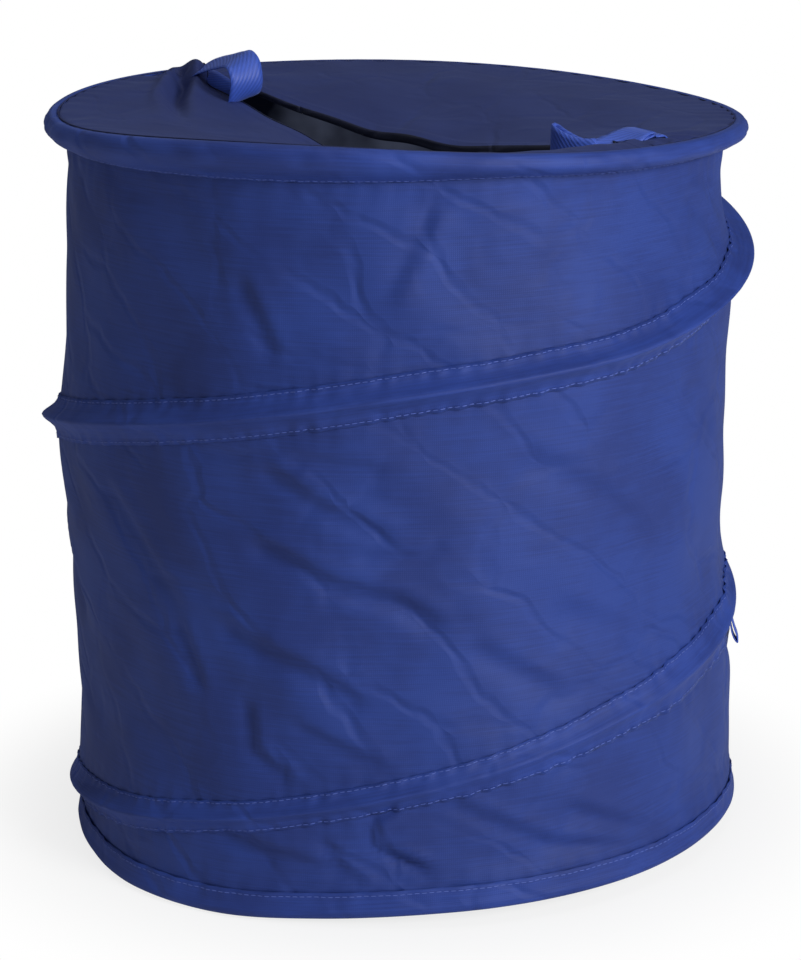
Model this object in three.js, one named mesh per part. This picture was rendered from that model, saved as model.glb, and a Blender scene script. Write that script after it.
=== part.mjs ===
// A pop up laundry hamper: a tall cloth drum held open by two spring hoops and a two turn spiral wire,
// closed by a lid of two flaps that meet along a slot, with a webbing pull loop at each end of the slot.
// Millimetres, +Z up. The origin is the middle of the base, on the floor.
// X runs along the lid slot, from one pull loop to the other, and +Y is the rear flap's side.

import * as THREE from 'three';

// Driving dimensions
const HOOP_HEIGHT = 478; // floor to the middle line of the top hoop
const TOP_NOSE_RADIUS = 235.5; // outside of the cloth round the top hoop
const BASE_NOSE_RADIUS = 232.6; // outside of the cloth round the bottom hoop
const SPIRAL_NOSE_RADIUS = 235.5; // outside of the cloth round the spiral wire
const WALL_FOOT_RADIUS = 226.8; // outside of the drum where it meets the floor panel
const SADDLE_RISE = 3.5; // how far the flaps draw the top hoop up and down out of its plane
const WIRE_DIAMETER = 3;
const CLOTH = 0.8;
const WEBBING = 1.4;
const WEBBING_WIDTH = 25;
const CLEARANCE = 0.3; // between pieces that touch on the real hamper

// Facets: every ring has its corners at the same angles, so that neighbours keep their clearance
const RING_STEPS = 48;
const STEP_DEG = 360 / RING_STEPS;
const WIRE_SIDES = 6;
const TURN_DEG = 360;
const HALF_TURN_DEG = 180;

// Wall: bands of cloth, each of which drops inside the one below when the hamper folds flat
const BAND_COUNT = 8;
const TOP_PANELS = 4; // pieces of cloth round the highest band
const TOP_SEAM_DEG = 67.5; // where the first of them starts
const NEST_CLEARANCE = 0.35;
const BASE_PANEL = 1; // thickness of the doubled floor panel

// Cloth folded round the hoops and the spiral
const RIM_BEND = 7.5; // radius of the lip round the top hoop
const HEM_BEND = 4.6;
const SPIRAL_BEND = 5;
const LIP_TURN_DEG = 65; // how far round the wire the cloth stays before it runs back to the wall
const SEAM_TURN_DEG = 100; // where the lip ends at the lid seam, from the level
const LIP_STEPS = 2; // an arc takes two facets a step
const FLARE_STEPS = 2;
const SKIRT_DEPTH = 16.5; // top hoop line to the lip's lower stitch line
const HEM_HEIGHT = 18; // floor to the hem's stitch line
const CASING_WIDTH = 28; // between the two stitch lines along the spiral
const CASING_END_WIDTH = 22; // where the casing runs out against the hem and the rim

// Hoops, spiral and their metal and plastic fittings
const FERRULE_WALL = 0.5;
const FERRULE_LENGTH = 24;
const FERRULE_DEG = 135; // both hoops close at the back
const HOOP_GAP = 1; // between the two wire ends inside a ferrule
const SPIRAL_PITCH = 248; // rise in one turn
const SPIRAL_FOOT_DEG = 186; // where the spiral's line would meet the floor
const CAP_LENGTH = 10;
const CAP_END = 1.6;

// Lid: two flaps with a lens shaped slot between them, each with a tongue that folds
const SLOT_END_INSET = 26; // lid's edge to the end of the slot
const SLOT_END_GAP = 0.4;
const REAR_BOW = 8; // how far the rear flap's free edge curves back at the middle
const FRONT_BOW = 37;
const TONGUE_INSET = 84; // end of the slot to the side of a tongue
const FOLD_OFFSET = 95; // slot line to the line that a tongue folds on
const FOLD_GAP = 1.5;
const TONGUE_SAG = 15; // how far a tongue's free edge hangs at the middle
const TONGUE_STEPS = 12;
const PANEL_STEPS = 4;
const PANEL_END_STEPS = 3;

// Webbing pull loops
const LOOP_LENGTH = 78;
const LOOP_HEIGHT = 28;
const LOOP_ROOT = 10; // where the two plies of a loop lie together
const LOOP_LIFT = 1; // a loop's underside above the lid
const LOOP_HINGE_GAP = 1; // lets a loop's root turn past the end of its patch
const LOOP_PITCH_DEG = 4;
const PATCH_LENGTH = 14;
const LOOP_STEPS = 8;
const LEFT_ROOT_INSET = 26; // lid's edge to where the loop starts
const LEFT_ROOT_Y = 4;
const LEFT_HEADING_DEG = -13;
const RIGHT_ROOT_INSET = 27;
const RIGHT_ROOT_Y = 22;
const RIGHT_HEADING_DEG = -105;

// Storage tie under the spiral's casing
const TIE_DEG = 40;
const TIE_DROP = 1.4; // below the casing's edge, which climbs across the tie's width
const TIE_LENGTH = 16;
const TIE_DEPTH = 4;
const TIE_PLY = 0.8;
const TIE_WIDTH = 10;
const TIE_ROOT = 2;

// Sizes that follow from the ones above
const WIRE_RADIUS = WIRE_DIAMETER / 2;
const BORE_RADIUS = WIRE_RADIUS + CLEARANCE;
const FERRULE_RADIUS = BORE_RADIUS + FERRULE_WALL;
const WIRE_INSET = CLOTH + CLEARANCE + FERRULE_RADIUS; // nose to wire line
const SKIRT_Z = HOOP_HEIGHT - SKIRT_DEPTH;
const WALL_FOOT_Z = BASE_PANEL + CLEARANCE;
const BAND_PITCH = (SKIRT_Z - WALL_FOOT_Z) / BAND_COUNT;
const BAND_STEP = CLOTH + NEST_CLEARANCE;
const HOOP_RADIUS = TOP_NOSE_RADIUS - WIRE_INSET;
const SEAM_RADIUS = TOP_NOSE_RADIUS - RIM_BEND + RIM_BEND * Math.cos(radians(SEAM_TURN_DEG));
const LID_Z = HOOP_HEIGHT + RIM_BEND * Math.sin(radians(SEAM_TURN_DEG));
const LID_RADIUS = SEAM_RADIUS - CLEARANCE;
const SLOT_HALF_LENGTH = LID_RADIUS - SLOT_END_INSET;
const TONGUE_HALF_LENGTH = SLOT_HALF_LENGTH - TONGUE_INSET;
const LOOP_ROOT_THICKNESS = 2 * WEBBING + CLEARANCE;
const TONGUE_EDGE = FOLD_OFFSET - FOLD_GAP / 2;
const PANEL_EDGE = FOLD_OFFSET + FOLD_GAP / 2;

const clothBlue = new THREE.MeshStandardMaterial({ color: '#2d3f86', roughness: 0.78, metalness: 0 });
const casingBlue = new THREE.MeshStandardMaterial({ color: '#2a3a7c', roughness: 0.76, metalness: 0 });
const lidBlue = new THREE.MeshStandardMaterial({ color: '#303d78', roughness: 0.8, metalness: 0 });
const webbingBlue = new THREE.MeshStandardMaterial({ color: '#3650ad', roughness: 0.7, metalness: 0 });
const springSteel = new THREE.MeshStandardMaterial({ color: '#8d9196', roughness: 0.35, metalness: 1 });
const crimpSteel = new THREE.MeshStandardMaterial({ color: '#b4b7ba', roughness: 0.4, metalness: 1 });
const capPlastic = new THREE.MeshStandardMaterial({ color: '#1c1d20', roughness: 0.5, metalness: 0 });

function radians(degrees) {
  return THREE.MathUtils.degToRad(degrees);
}

function polar(radius, degrees, z) {
  return new THREE.Vector3(radius * Math.cos(radians(degrees)), radius * Math.sin(radians(degrees)), z);
}

// Outside radius of a band, by how many bands stand below it
function bandRadius(below) {
  return WALL_FOOT_RADIUS - below * BAND_STEP;
}

// Radius at a height of the cone that touches the upper edge of every band
function wallRadius(z) {
  return bandRadius(Math.max(0, (z - WALL_FOOT_Z) / BAND_PITCH - 1));
}

// How far the top hoop stands above its mean height at an angle
function hoopRise(degrees) {
  return -SADDLE_RISE * Math.sin(radians(2 * degrees));
}

// A point on the top face of the lid, which stretches over the hoop as a saddle
function lidPoint(x, y) {
  return new THREE.Vector3(x, y, LID_Z - (2 * SADDLE_RISE * x * y) / HOOP_RADIUS ** 2);
}

// Height of the spiral's line at an angle counted on from its foot
function spiralHeight(degrees) {
  return (SPIRAL_PITCH * (degrees - SPIRAL_FOOT_DEG)) / TURN_DEG;
}

// The first ring corner at or past an angle
function ringCorner(degrees) {
  return Math.ceil(degrees / STEP_DEG) * STEP_DEG;
}

// A flat line moved sideways by a distance, to its left as it is drawn
function offsetLine(points, distance) {
  return points.map((point, i) => {
    const before = points[Math.max(i - 1, 0)];
    const after = points[Math.min(i + 1, points.length - 1)];
    const into = point.clone().sub(before).normalize();
    const out = after.clone().sub(point).normalize();
    const along = into.clone().add(out).normalize();
    const bend = Math.max(along.dot(out), along.dot(into));
    const side = new THREE.Vector2(-along.y, along.x);
    return point.clone().add(side.multiplyScalar(distance / bend));
  });
}

// A closed solid between two grids of points of one size, rows along the piece and columns across it
function sheetSolid(outer, inner, wraps) {
  const rows = outer.length;
  const last = outer[0].length - 1;
  const positions = [...outer.flat(), ...inner.flat()].flatMap((p) => [p.x, p.y, p.z]);
  const onOuter = (i, j) => (i % rows) * (last + 1) + j;
  const onInner = (i, j) => rows * (last + 1) + onOuter(i, j);
  const triangles = [];
  const quad = (a, b, c, d) => triangles.push([a, b, c], [a, c, d]);
  for (let i = 0; i < (wraps ? rows : rows - 1); i += 1) {
    for (let j = 0; j < last; j += 1) {
      quad(onOuter(i, j), onOuter(i + 1, j), onOuter(i + 1, j + 1), onOuter(i, j + 1));
      quad(onInner(i, j), onInner(i, j + 1), onInner(i + 1, j + 1), onInner(i + 1, j));
    }
    quad(onOuter(i, 0), onInner(i, 0), onInner(i + 1, 0), onOuter(i + 1, 0));
    quad(onOuter(i, last), onOuter(i + 1, last), onInner(i + 1, last), onInner(i, last));
  }
  if (!wraps) {
    const end = rows - 1;
    for (let j = 0; j < last; j += 1) {
      quad(onOuter(0, j), onOuter(0, j + 1), onInner(0, j + 1), onInner(0, j));
      quad(onOuter(end, j + 1), onOuter(end, j), onInner(end, j), onInner(end, j + 1));
    }
  }
  return closedGeometry(positions, triangles);
}

// A geometry whose faces point outwards, whichever way its grids were drawn
function closedGeometry(positions, triangles) {
  const corner = (i) => new THREE.Vector3().fromArray(positions, 3 * i);
  const volume = triangles.reduce(
    (sum, [a, b, c]) => sum + corner(a).dot(corner(b).cross(corner(c))),
    0,
  );
  const index = triangles.flatMap(([a, b, c]) => (volume > 0 ? [a, b, c] : [a, c, b]));
  const geometry = new THREE.BufferGeometry();
  geometry.setAttribute('position', new THREE.Float32BufferAttribute(positions, 3));
  geometry.setIndex(index);
  geometry.computeVertexNormals();
  return geometry;
}

// A strip of cloth swept round the drum: profileAt gives its outer face in radius and height at an angle
function sweptStrip(profileAt, startDeg, steps, wraps) {
  const outer = [];
  const inner = [];
  for (let i = 0; i <= (wraps ? steps - 1 : steps); i += 1) {
    const degrees = startDeg + i * STEP_DEG;
    const profile = profileAt(degrees);
    outer.push(profile.map((p) => polar(p.x, degrees, p.y)));
    inner.push(offsetLine(profile, CLOTH).map((p) => polar(p.x, degrees, p.y)));
  }
  return sheetSolid(outer, inner, wraps);
}

// From a foot on the wall up to where the cloth starts to wrap the wire
function flare(foot, noseRadius, bend, wireZ) {
  const below = Math.sign(wireZ - foot.y);
  const turn = radians(LIP_TURN_DEG);
  const lip = new THREE.Vector2(noseRadius - bend * (1 - Math.cos(turn)), wireZ - below * bend * Math.sin(turn));
  const reach = (lip.x - foot.x) / Math.tan(turn);
  const bendPoint = new THREE.Vector2(foot.x, lip.y - below * reach);
  return { lip, bendPoint };
}

// Cloth from the wall, round a wire and back to the wall, drawn upwards
function spiralProfile(degrees) {
  const z = spiralHeight(degrees);
  const lowZ = Math.max(z - CASING_WIDTH / 2, HEM_HEIGHT + CLEARANCE);
  const highZ = Math.min(z + CASING_WIDTH / 2, SKIRT_Z);
  const low = new THREE.Vector2(wallRadius(lowZ) + CLEARANCE + CLOTH, lowZ);
  const high = new THREE.Vector2(wallRadius(highZ) + CLEARANCE + CLOTH, highZ);
  const start = flare(low, SPIRAL_NOSE_RADIUS, SPIRAL_BEND, z);
  const end = flare(high, SPIRAL_NOSE_RADIUS, SPIRAL_BEND, z);
  const turn = radians(LIP_TURN_DEG);
  return [
    ...new THREE.QuadraticBezierCurve(low, start.bendPoint, start.lip).getPoints(FLARE_STEPS).slice(0, -1),
    ...new THREE.Path().absarc(SPIRAL_NOSE_RADIUS - SPIRAL_BEND, z, SPIRAL_BEND, -turn, turn).getPoints(LIP_STEPS),
    ...new THREE.QuadraticBezierCurve(end.lip, end.bendPoint, high).getPoints(FLARE_STEPS).slice(1),
  ];
}

// Cloth from the top stitch line on the wall, out round the top hoop and in to the lid seam
function rimProfile(degrees) {
  const z = HOOP_HEIGHT + hoopRise(degrees);
  const foot = new THREE.Vector2(wallRadius(SKIRT_Z) + CLEARANCE + CLOTH, SKIRT_Z + CLEARANCE);
  const { lip, bendPoint } = flare(foot, TOP_NOSE_RADIUS, RIM_BEND, z);
  const arc = new THREE.Path().absarc(
    TOP_NOSE_RADIUS - RIM_BEND,
    z,
    RIM_BEND,
    -radians(LIP_TURN_DEG),
    radians(SEAM_TURN_DEG),
  );
  return [
    ...new THREE.QuadraticBezierCurve(foot, bendPoint, lip).getPoints(FLARE_STEPS).slice(0, -1),
    ...arc.getPoints(LIP_STEPS),
  ];
}

// Cloth from the floor panel's edge, out round the bottom hoop and up to the hem's stitch line
function hemProfile() {
  const foot = new THREE.Vector2(wallRadius(HEM_HEIGHT) + CLEARANCE + CLOTH, HEM_HEIGHT);
  const { lip, bendPoint } = flare(foot, BASE_NOSE_RADIUS, HEM_BEND, HEM_BEND);
  const arc = new THREE.Path().absarc(
    BASE_NOSE_RADIUS - HEM_BEND,
    HEM_BEND,
    HEM_BEND,
    -radians(HALF_TURN_DEG / 2),
    radians(LIP_TURN_DEG),
  );
  return [
    new THREE.Vector2(WALL_FOOT_RADIUS + CLEARANCE, 0),
    ...arc.getPoints(LIP_STEPS),
    ...new THREE.QuadraticBezierCurve(lip, bendPoint, foot).getPoints(FLARE_STEPS).slice(1),
  ];
}

// The middle line of a wire: a circle or a spiral with its height given by a function of the angle
class WireLine extends THREE.Curve {
  constructor(radius, heightAt, startDeg, endDeg) {
    super();
    this.radius = radius;
    this.heightAt = heightAt;
    this.startDeg = startDeg;
    this.endDeg = endDeg;
  }

  getPoint(t, target = new THREE.Vector3()) {
    const degrees = THREE.MathUtils.lerp(this.startDeg, this.endDeg, t);
    return target.copy(polar(this.radius, degrees, this.heightAt(degrees)));
  }
}

function roundSection(radius, sides) {
  return Array.from({ length: sides }, (_, i) => {
    const angle = radians((TURN_DEG * i) / sides);
    return new THREE.Vector2(radius * Math.cos(angle), radius * Math.sin(angle));
  });
}

// A round wire, or a round tube when it has a bore, along a line
function wireGeometry(line, steps, radius, boreRadius = 0) {
  const section = new THREE.Shape(roundSection(radius, WIRE_SIDES));
  if (boreRadius > 0) {
    section.holes.push(new THREE.Path(roundSection(boreRadius, WIRE_SIDES)));
  }
  return new THREE.ExtrudeGeometry(section, { steps, extrudePath: line, bevelEnabled: false });
}

// The smallest distance between the skins of a wire's turns, measured on points along it
function leastGap(line, steps, radius) {
  const points = line.getSpacedPoints(steps);
  const apart = RING_STEPS / 2;
  let least = Infinity;
  points.forEach((point, i) => {
    for (let j = i + apart; j < points.length; j += 1) {
      least = Math.min(least, point.distanceTo(points[j]) - 2 * radius);
    }
  });
  return least;
}

const hamper = new THREE.Group();

function addPiece(name, geometry, material, parent = hamper) {
  const mesh = new THREE.Mesh(geometry, material);
  mesh.name = name;
  parent.add(mesh);
  return mesh;
}

// A spring hoop with its ends in a crimped ferrule
function addHoop(name, radius, heightAt) {
  const gapDeg = THREE.MathUtils.radToDeg(HOOP_GAP / radius);
  const ring = new WireLine(radius, heightAt, FERRULE_DEG + gapDeg / 2, FERRULE_DEG + TURN_DEG - gapDeg / 2);
  addPiece(`${name}_wire`, wireGeometry(ring, RING_STEPS, WIRE_RADIUS), springSteel);
  const middle = ring.getPoint(0).lerp(ring.getPoint(1), 1 / 2);
  const [near, far] = [ring.getPoint(1 / RING_STEPS), ring.getPoint(1 - 1 / RING_STEPS)].map((next) =>
    middle.clone().add(next.sub(middle).setLength(FERRULE_LENGTH / 2)),
  );
  const sleeve = new THREE.CurvePath();
  sleeve.add(new THREE.LineCurve3(far, middle));
  sleeve.add(new THREE.LineCurve3(middle, near));
  const sides = sleeve.curves.length;
  addPiece(`${name}_ferrule`, wireGeometry(sleeve, sides, FERRULE_RADIUS, BORE_RADIUS), crimpSteel);
}

// The drum's wall, one band of cloth above the other, the top one in panels
function addWall() {
  for (let i = 0; i < BAND_COUNT - 1; i += 1) {
    const low = WALL_FOOT_Z + i * BAND_PITCH;
    const high = low + BAND_PITCH - CLEARANCE;
    const outside = bandRadius(i);
    const section = [
      new THREE.Vector2(outside, low),
      new THREE.Vector2(outside, high),
      new THREE.Vector2(outside - CLOTH, high),
      new THREE.Vector2(outside - CLOTH, low),
      new THREE.Vector2(outside, low),
    ];
    const band = new THREE.LatheGeometry(section, RING_STEPS).rotateX(radians(HALF_TURN_DEG / 2));
    addPiece(`wall_band_${i + 1}`, band, clothBlue);
  }
  addTopBand();
}

// The highest band, in panels that meet edge to edge
function addTopBand() {
  const low = WALL_FOOT_Z + (BAND_COUNT - 1) * BAND_PITCH;
  const outside = bandRadius(BAND_COUNT - 1);
  const edge = [low, low + BAND_PITCH - CLEARANCE].map((z) => new THREE.Vector2(outside, z));
  const steps = RING_STEPS / TOP_PANELS;
  for (let i = 0; i < TOP_PANELS; i += 1) {
    const panel = sweptStrip(() => edge, TOP_SEAM_DEG + i * steps * STEP_DEG, steps, false);
    addPiece(`wall_band_${BAND_COUNT}_panel_${i + 1}`, panel, clothBlue);
  }
}

function addFloorPanel() {
  const panel = new THREE.CylinderGeometry(WALL_FOOT_RADIUS, WALL_FOOT_RADIUS, BASE_PANEL, RING_STEPS);
  panel.rotateX(radians(HALF_TURN_DEG / 2)).translate(0, 0, BASE_PANEL / 2);
  addPiece('floor_panel', panel, clothBlue);
}

// A plastic tip pushed over one end of the spiral wire, in line with the wire's next point
function addWireCap(name, end, next) {
  const direction = next.clone().sub(end).normalize();
  const section = [
    new THREE.Vector2(0, 0),
    new THREE.Vector2(FERRULE_RADIUS, 0),
    new THREE.Vector2(FERRULE_RADIUS, CAP_LENGTH),
    new THREE.Vector2(BORE_RADIUS, CAP_LENGTH),
    new THREE.Vector2(BORE_RADIUS, CAP_END),
    new THREE.Vector2(0, CAP_END),
  ];
  const cap = addPiece(name, new THREE.LatheGeometry(section, 2 * WIRE_SIDES), capPlastic);
  cap.quaternion.setFromUnitVectors(new THREE.Vector3(0, 1, 0), direction);
  cap.position.copy(end).addScaledVector(direction, -(CAP_END + CLEARANCE));
}

// The spiral: one wire in a sewn casing that stands off the wall like a tent
function addSpiral() {
  const half = CASING_END_WIDTH / 2;
  const startDeg = ringCorner(SPIRAL_FOOT_DEG + (TURN_DEG * (HEM_HEIGHT + half + CLEARANCE)) / SPIRAL_PITCH);
  const topDeg = SPIRAL_FOOT_DEG + (TURN_DEG * (SKIRT_Z - half)) / SPIRAL_PITCH;
  const endDeg = ringCorner(topDeg) - STEP_DEG;
  const casingSteps = Math.round((endDeg - startDeg) / STEP_DEG);
  addPiece('spiral_casing', sweptStrip(spiralProfile, startDeg, casingSteps, false), casingBlue);

  const radius = SPIRAL_NOSE_RADIUS - WIRE_INSET;
  const line = new WireLine(radius, spiralHeight, startDeg + STEP_DEG, endDeg - STEP_DEG);
  const steps = casingSteps - 2;
  addPiece('spiral_wire', wireGeometry(line, steps, WIRE_RADIUS), springSteel);
  addWireCap('spiral_cap_lower', line.getPoint(0), line.getPoint(1 / steps));
  addWireCap('spiral_cap_upper', line.getPoint(1), line.getPoint(1 - 1 / steps));
  console.log(`least gap between the spiral's turns: ${leastGap(line, steps, WIRE_RADIUS).toFixed(1)} mm`);
}

// The free edge of a flap: side is 1 for the rear flap and -1 for the front one
function slotEdge(x, side) {
  const share = Math.max(0, 1 - (x / SLOT_HALF_LENGTH) ** 2) ** 2;
  const bow = side > 0 ? REAR_BOW : FRONT_BOW;
  return side * (SLOT_END_GAP / 2 + bow * share);
}

// How far a tongue hangs at a point, nothing along its fold and its two short sides
function tongueSag(x, y, side) {
  const across = (TONGUE_EDGE - Math.abs(y)) / (TONGUE_EDGE - Math.abs(slotEdge(x, side)));
  const along = 1 - (x / TONGUE_HALF_LENGTH) ** 2;
  return TONGUE_SAG * along * across;
}

// Points along a straight line in the lid's plan, without the last one
function stepsBetween(x0, y0, x1, y1, count) {
  return Array.from({ length: count }, (_, i) => {
    const share = i / count;
    return new THREE.Vector2(THREE.MathUtils.lerp(x0, x1, share), THREE.MathUtils.lerp(y0, y1, share));
  });
}

// The part of a flap that stays with the hoop, notched for the tongue
function flapPanel(side) {
  const notch = TONGUE_HALF_LENGTH + CLEARANCE;
  const edge = slotEdge(notch, side);
  const fold = side * PANEL_EDGE;
  const foldSteps = RING_STEPS / 2 - 4 * PANEL_END_STEPS;
  const slotPoint = (x) => new THREE.Vector2(x, slotEdge(x, side));
  const leftSlot = stepsBetween(-LID_RADIUS, 0, -notch, 0, PANEL_END_STEPS).map((p) => slotPoint(p.x));
  const rightSlot = stepsBetween(notch, 0, LID_RADIUS, 0, PANEL_END_STEPS).map((p) => slotPoint(p.x));
  const inside = [
    ...leftSlot,
    ...stepsBetween(-notch, edge, -notch, fold, PANEL_END_STEPS),
    ...stepsBetween(-notch, fold, notch, fold, foldSteps),
    ...stepsBetween(notch, fold, notch, edge, PANEL_END_STEPS),
    ...rightSlot,
    slotPoint(LID_RADIUS),
  ];
  const grid = inside.map((near, i) => {
    const rim = polar(LID_RADIUS, HALF_TURN_DEG - side * i * STEP_DEG, 0);
    const endGap = side * (SLOT_END_GAP / 2);
    const far = new THREE.Vector2(rim.x, side * Math.max(side * rim.y, side * endGap));
    return Array.from({ length: PANEL_STEPS + 1 }, (_, j) => near.clone().lerp(far, j / PANEL_STEPS));
  });
  // The two rows at the slot's ends would have no width, so they stop a clearance short of the rim
  [grid[0], grid[grid.length - 1]].forEach((row) => {
    row.forEach((p, j) => p.setX(p.x * (1 - ((PANEL_STEPS - j) * CLEARANCE) / LID_RADIUS)));
  });
  return lidSheet(grid, () => 0);
}

// The part of a flap that folds at its own line, free on its three other sides
function flapTongue(side) {
  const grid = Array.from({ length: TONGUE_STEPS + 1 }, (_, i) => {
    const x = THREE.MathUtils.lerp(-TONGUE_HALF_LENGTH, TONGUE_HALF_LENGTH, i / TONGUE_STEPS);
    const free = slotEdge(x, side);
    return Array.from(
      { length: PANEL_STEPS + 1 },
      (_unused, j) => new THREE.Vector2(x, THREE.MathUtils.lerp(side * TONGUE_EDGE, free, j / PANEL_STEPS)),
    );
  });
  return lidSheet(grid, (x, y) => tongueSag(x, y, side));
}

// A sheet of cloth on the lid's saddle, from its plan and how far it hangs
function lidSheet(grid, sagAt) {
  const face = (depth) =>
    grid.map((row) =>
      row.map((p) => {
        const point = lidPoint(p.x, p.y);
        return point.setZ(point.z - sagAt(p.x, p.y) - depth);
      }),
    );
  return sheetSolid(face(0), face(CLOTH), false);
}

function addLid() {
  addPiece('rear_flap_panel', flapPanel(1), lidBlue);
  addPiece('front_flap_panel', flapPanel(-1), lidBlue);
  addPiece('rear_flap_tongue', flapTongue(1), lidBlue);
  addPiece('front_flap_tongue', flapTongue(-1), lidBlue);
}

// A strap folded back on itself: two plies from the root, open in the middle, round at the far end
function foldedStrap(length, height, ply, root, width) {
  const bend = height / 2;
  const upper = ply / 2 + ply + CLEARANCE;
  const path = new THREE.Path()
    .moveTo(0, ply / 2)
    .lineTo(root, ply / 2)
    .lineTo(length - bend, ply / 2)
    .absarc(length - bend, bend, bend - ply / 2, -Math.PI / 2, Math.PI / 2)
    .bezierCurveTo(length / 2, height, 2 * root, upper, root, upper)
    .lineTo(0, upper);
  const line = path.getPoints(LOOP_STEPS);
  const face = (offset) =>
    offsetLine(line, offset).map((p) => [
      new THREE.Vector3(p.x, -width / 2, p.y),
      new THREE.Vector3(p.x, width / 2, p.y),
    ]);
  return sheetSolid(face(-ply / 2), face(ply / 2), false);
}

// A pull loop and the doubled end by which it is sewn to the lid, behind the loop's root
function addPullLoop(name, rootX, rootY, headingDeg) {
  const along = new THREE.Vector2(Math.cos(radians(headingDeg)), Math.sin(radians(headingDeg)));
  const patchEnd = LOOP_ROOT_THICKNESS / 2 + LOOP_HINGE_GAP;
  const face = (height) =>
    [-patchEnd - PATCH_LENGTH, -patchEnd - PATCH_LENGTH / 2, -patchEnd].map((back) =>
      [-WEBBING_WIDTH / 2, 0, WEBBING_WIDTH / 2].map((side) => {
        const x = rootX + back * along.x - side * along.y;
        const y = rootY + back * along.y + side * along.x;
        const point = lidPoint(x, y);
        return point.setZ(point.z + height);
      }),
    );
  const patch = sheetSolid(face(CLEARANCE + WEBBING), face(CLEARANCE), false);
  addPiece(`${name}_patch`, patch, webbingBlue);

  const loop = new THREE.Group();
  const rootZ = lidPoint(rootX, rootY).z + LOOP_LIFT + LOOP_ROOT_THICKNESS / 2;
  loop.position.set(rootX, rootY, rootZ);
  loop.rotation.set(0, -radians(LOOP_PITCH_DEG), radians(headingDeg), 'ZYX');
  hamper.add(loop);
  const strap = foldedStrap(LOOP_LENGTH, LOOP_HEIGHT, WEBBING, LOOP_ROOT, WEBBING_WIDTH);
  strap.translate(0, 0, -LOOP_ROOT_THICKNESS / 2);
  addPiece(`${name}_loop`, strap, webbingBlue, loop);
}

// The small loop that ties the hamper when it is stored flat, under the spiral's lower stitch line
function addStorageTie() {
  const z = spiralHeight(TIE_DEG + TURN_DEG) - CASING_WIDTH / 2 - TIE_DROP;
  const tie = new THREE.Group();
  tie.rotation.z = radians(TIE_DEG);
  hamper.add(tie);
  const strap = foldedStrap(TIE_LENGTH, TIE_DEPTH, TIE_PLY, TIE_ROOT, TIE_WIDTH);
  strap.rotateY(radians(HALF_TURN_DEG / 2)).translate(wallRadius(z - TIE_LENGTH) + CLEARANCE, 0, z);
  addPiece('storage_tie', strap, webbingBlue, tie);
}

addHoop('top_hoop', HOOP_RADIUS, (degrees) => HOOP_HEIGHT + hoopRise(degrees));
addHoop('bottom_hoop', BASE_NOSE_RADIUS - WIRE_INSET, () => HEM_BEND);
addSpiral();
addWall();
addFloorPanel();
addPiece('rim_casing', sweptStrip(rimProfile, 0, RING_STEPS, true), casingBlue);
addPiece('hem_casing', sweptStrip(hemProfile, 0, RING_STEPS, true), casingBlue);
addLid();
addPullLoop('left', LEFT_ROOT_INSET - LID_RADIUS, LEFT_ROOT_Y, LEFT_HEADING_DEG);
addPullLoop('right', LID_RADIUS - RIGHT_ROOT_INSET, RIGHT_ROOT_Y, RIGHT_HEADING_DEG);
addStorageTie();

export default hamper;
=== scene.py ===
"""A pop up laundry hamper: a blue polyester drum over spring steel hoops and a spiral, with a two flap lid.

Metres, +Z up, in the CAD frame: X runs along the lid's slot and +Y is the rear flap's side. Shapes are worked
out in millimetres and put into the meshes in metres.
"""

import logging
import math
from collections.abc import Callable
from dataclasses import dataclass, field
from enum import Enum

import bpy
import numpy as np
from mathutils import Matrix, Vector


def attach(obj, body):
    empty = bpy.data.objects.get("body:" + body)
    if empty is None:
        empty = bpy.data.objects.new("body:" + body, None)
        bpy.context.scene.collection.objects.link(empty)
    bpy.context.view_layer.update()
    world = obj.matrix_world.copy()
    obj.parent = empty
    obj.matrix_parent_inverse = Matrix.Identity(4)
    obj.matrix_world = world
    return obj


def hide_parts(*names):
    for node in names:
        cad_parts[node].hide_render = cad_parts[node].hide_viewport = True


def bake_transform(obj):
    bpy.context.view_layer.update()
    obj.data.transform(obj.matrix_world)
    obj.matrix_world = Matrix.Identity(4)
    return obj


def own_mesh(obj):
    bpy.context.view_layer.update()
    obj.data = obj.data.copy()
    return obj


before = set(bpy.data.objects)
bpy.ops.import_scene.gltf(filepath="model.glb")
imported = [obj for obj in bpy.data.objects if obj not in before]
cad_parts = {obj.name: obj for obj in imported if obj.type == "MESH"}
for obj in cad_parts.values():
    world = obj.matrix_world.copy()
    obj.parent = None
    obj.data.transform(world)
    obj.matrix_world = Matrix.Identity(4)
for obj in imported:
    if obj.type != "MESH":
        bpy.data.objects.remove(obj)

Array = np.ndarray
Piece = bpy.types.Object
Finish = bpy.types.Material
Socket = bpy.types.NodeSocket
log = logging.getLogger("hamper")
MM = 0.001
SEED = 20
BACK_DEG = 135.0  # the cloth's seams are at the back
TURNS = 3  # more than the spiral has
FAR = 1e3  # farther than any place on the hamper, in mm
TINY = 1e-12
UPRIGHT = np.array([0.0, 0.0, 1.0])
LEVEL = np.array([1.0, 1.0, 0.0])
STRIP_CLOTH = 0.6  # thickness of a casing's cloth
THREAD_LIFT = 0.15
WAVE_PERIOD = math.tau / 20  # a wave texture repeats this often a unit


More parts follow.
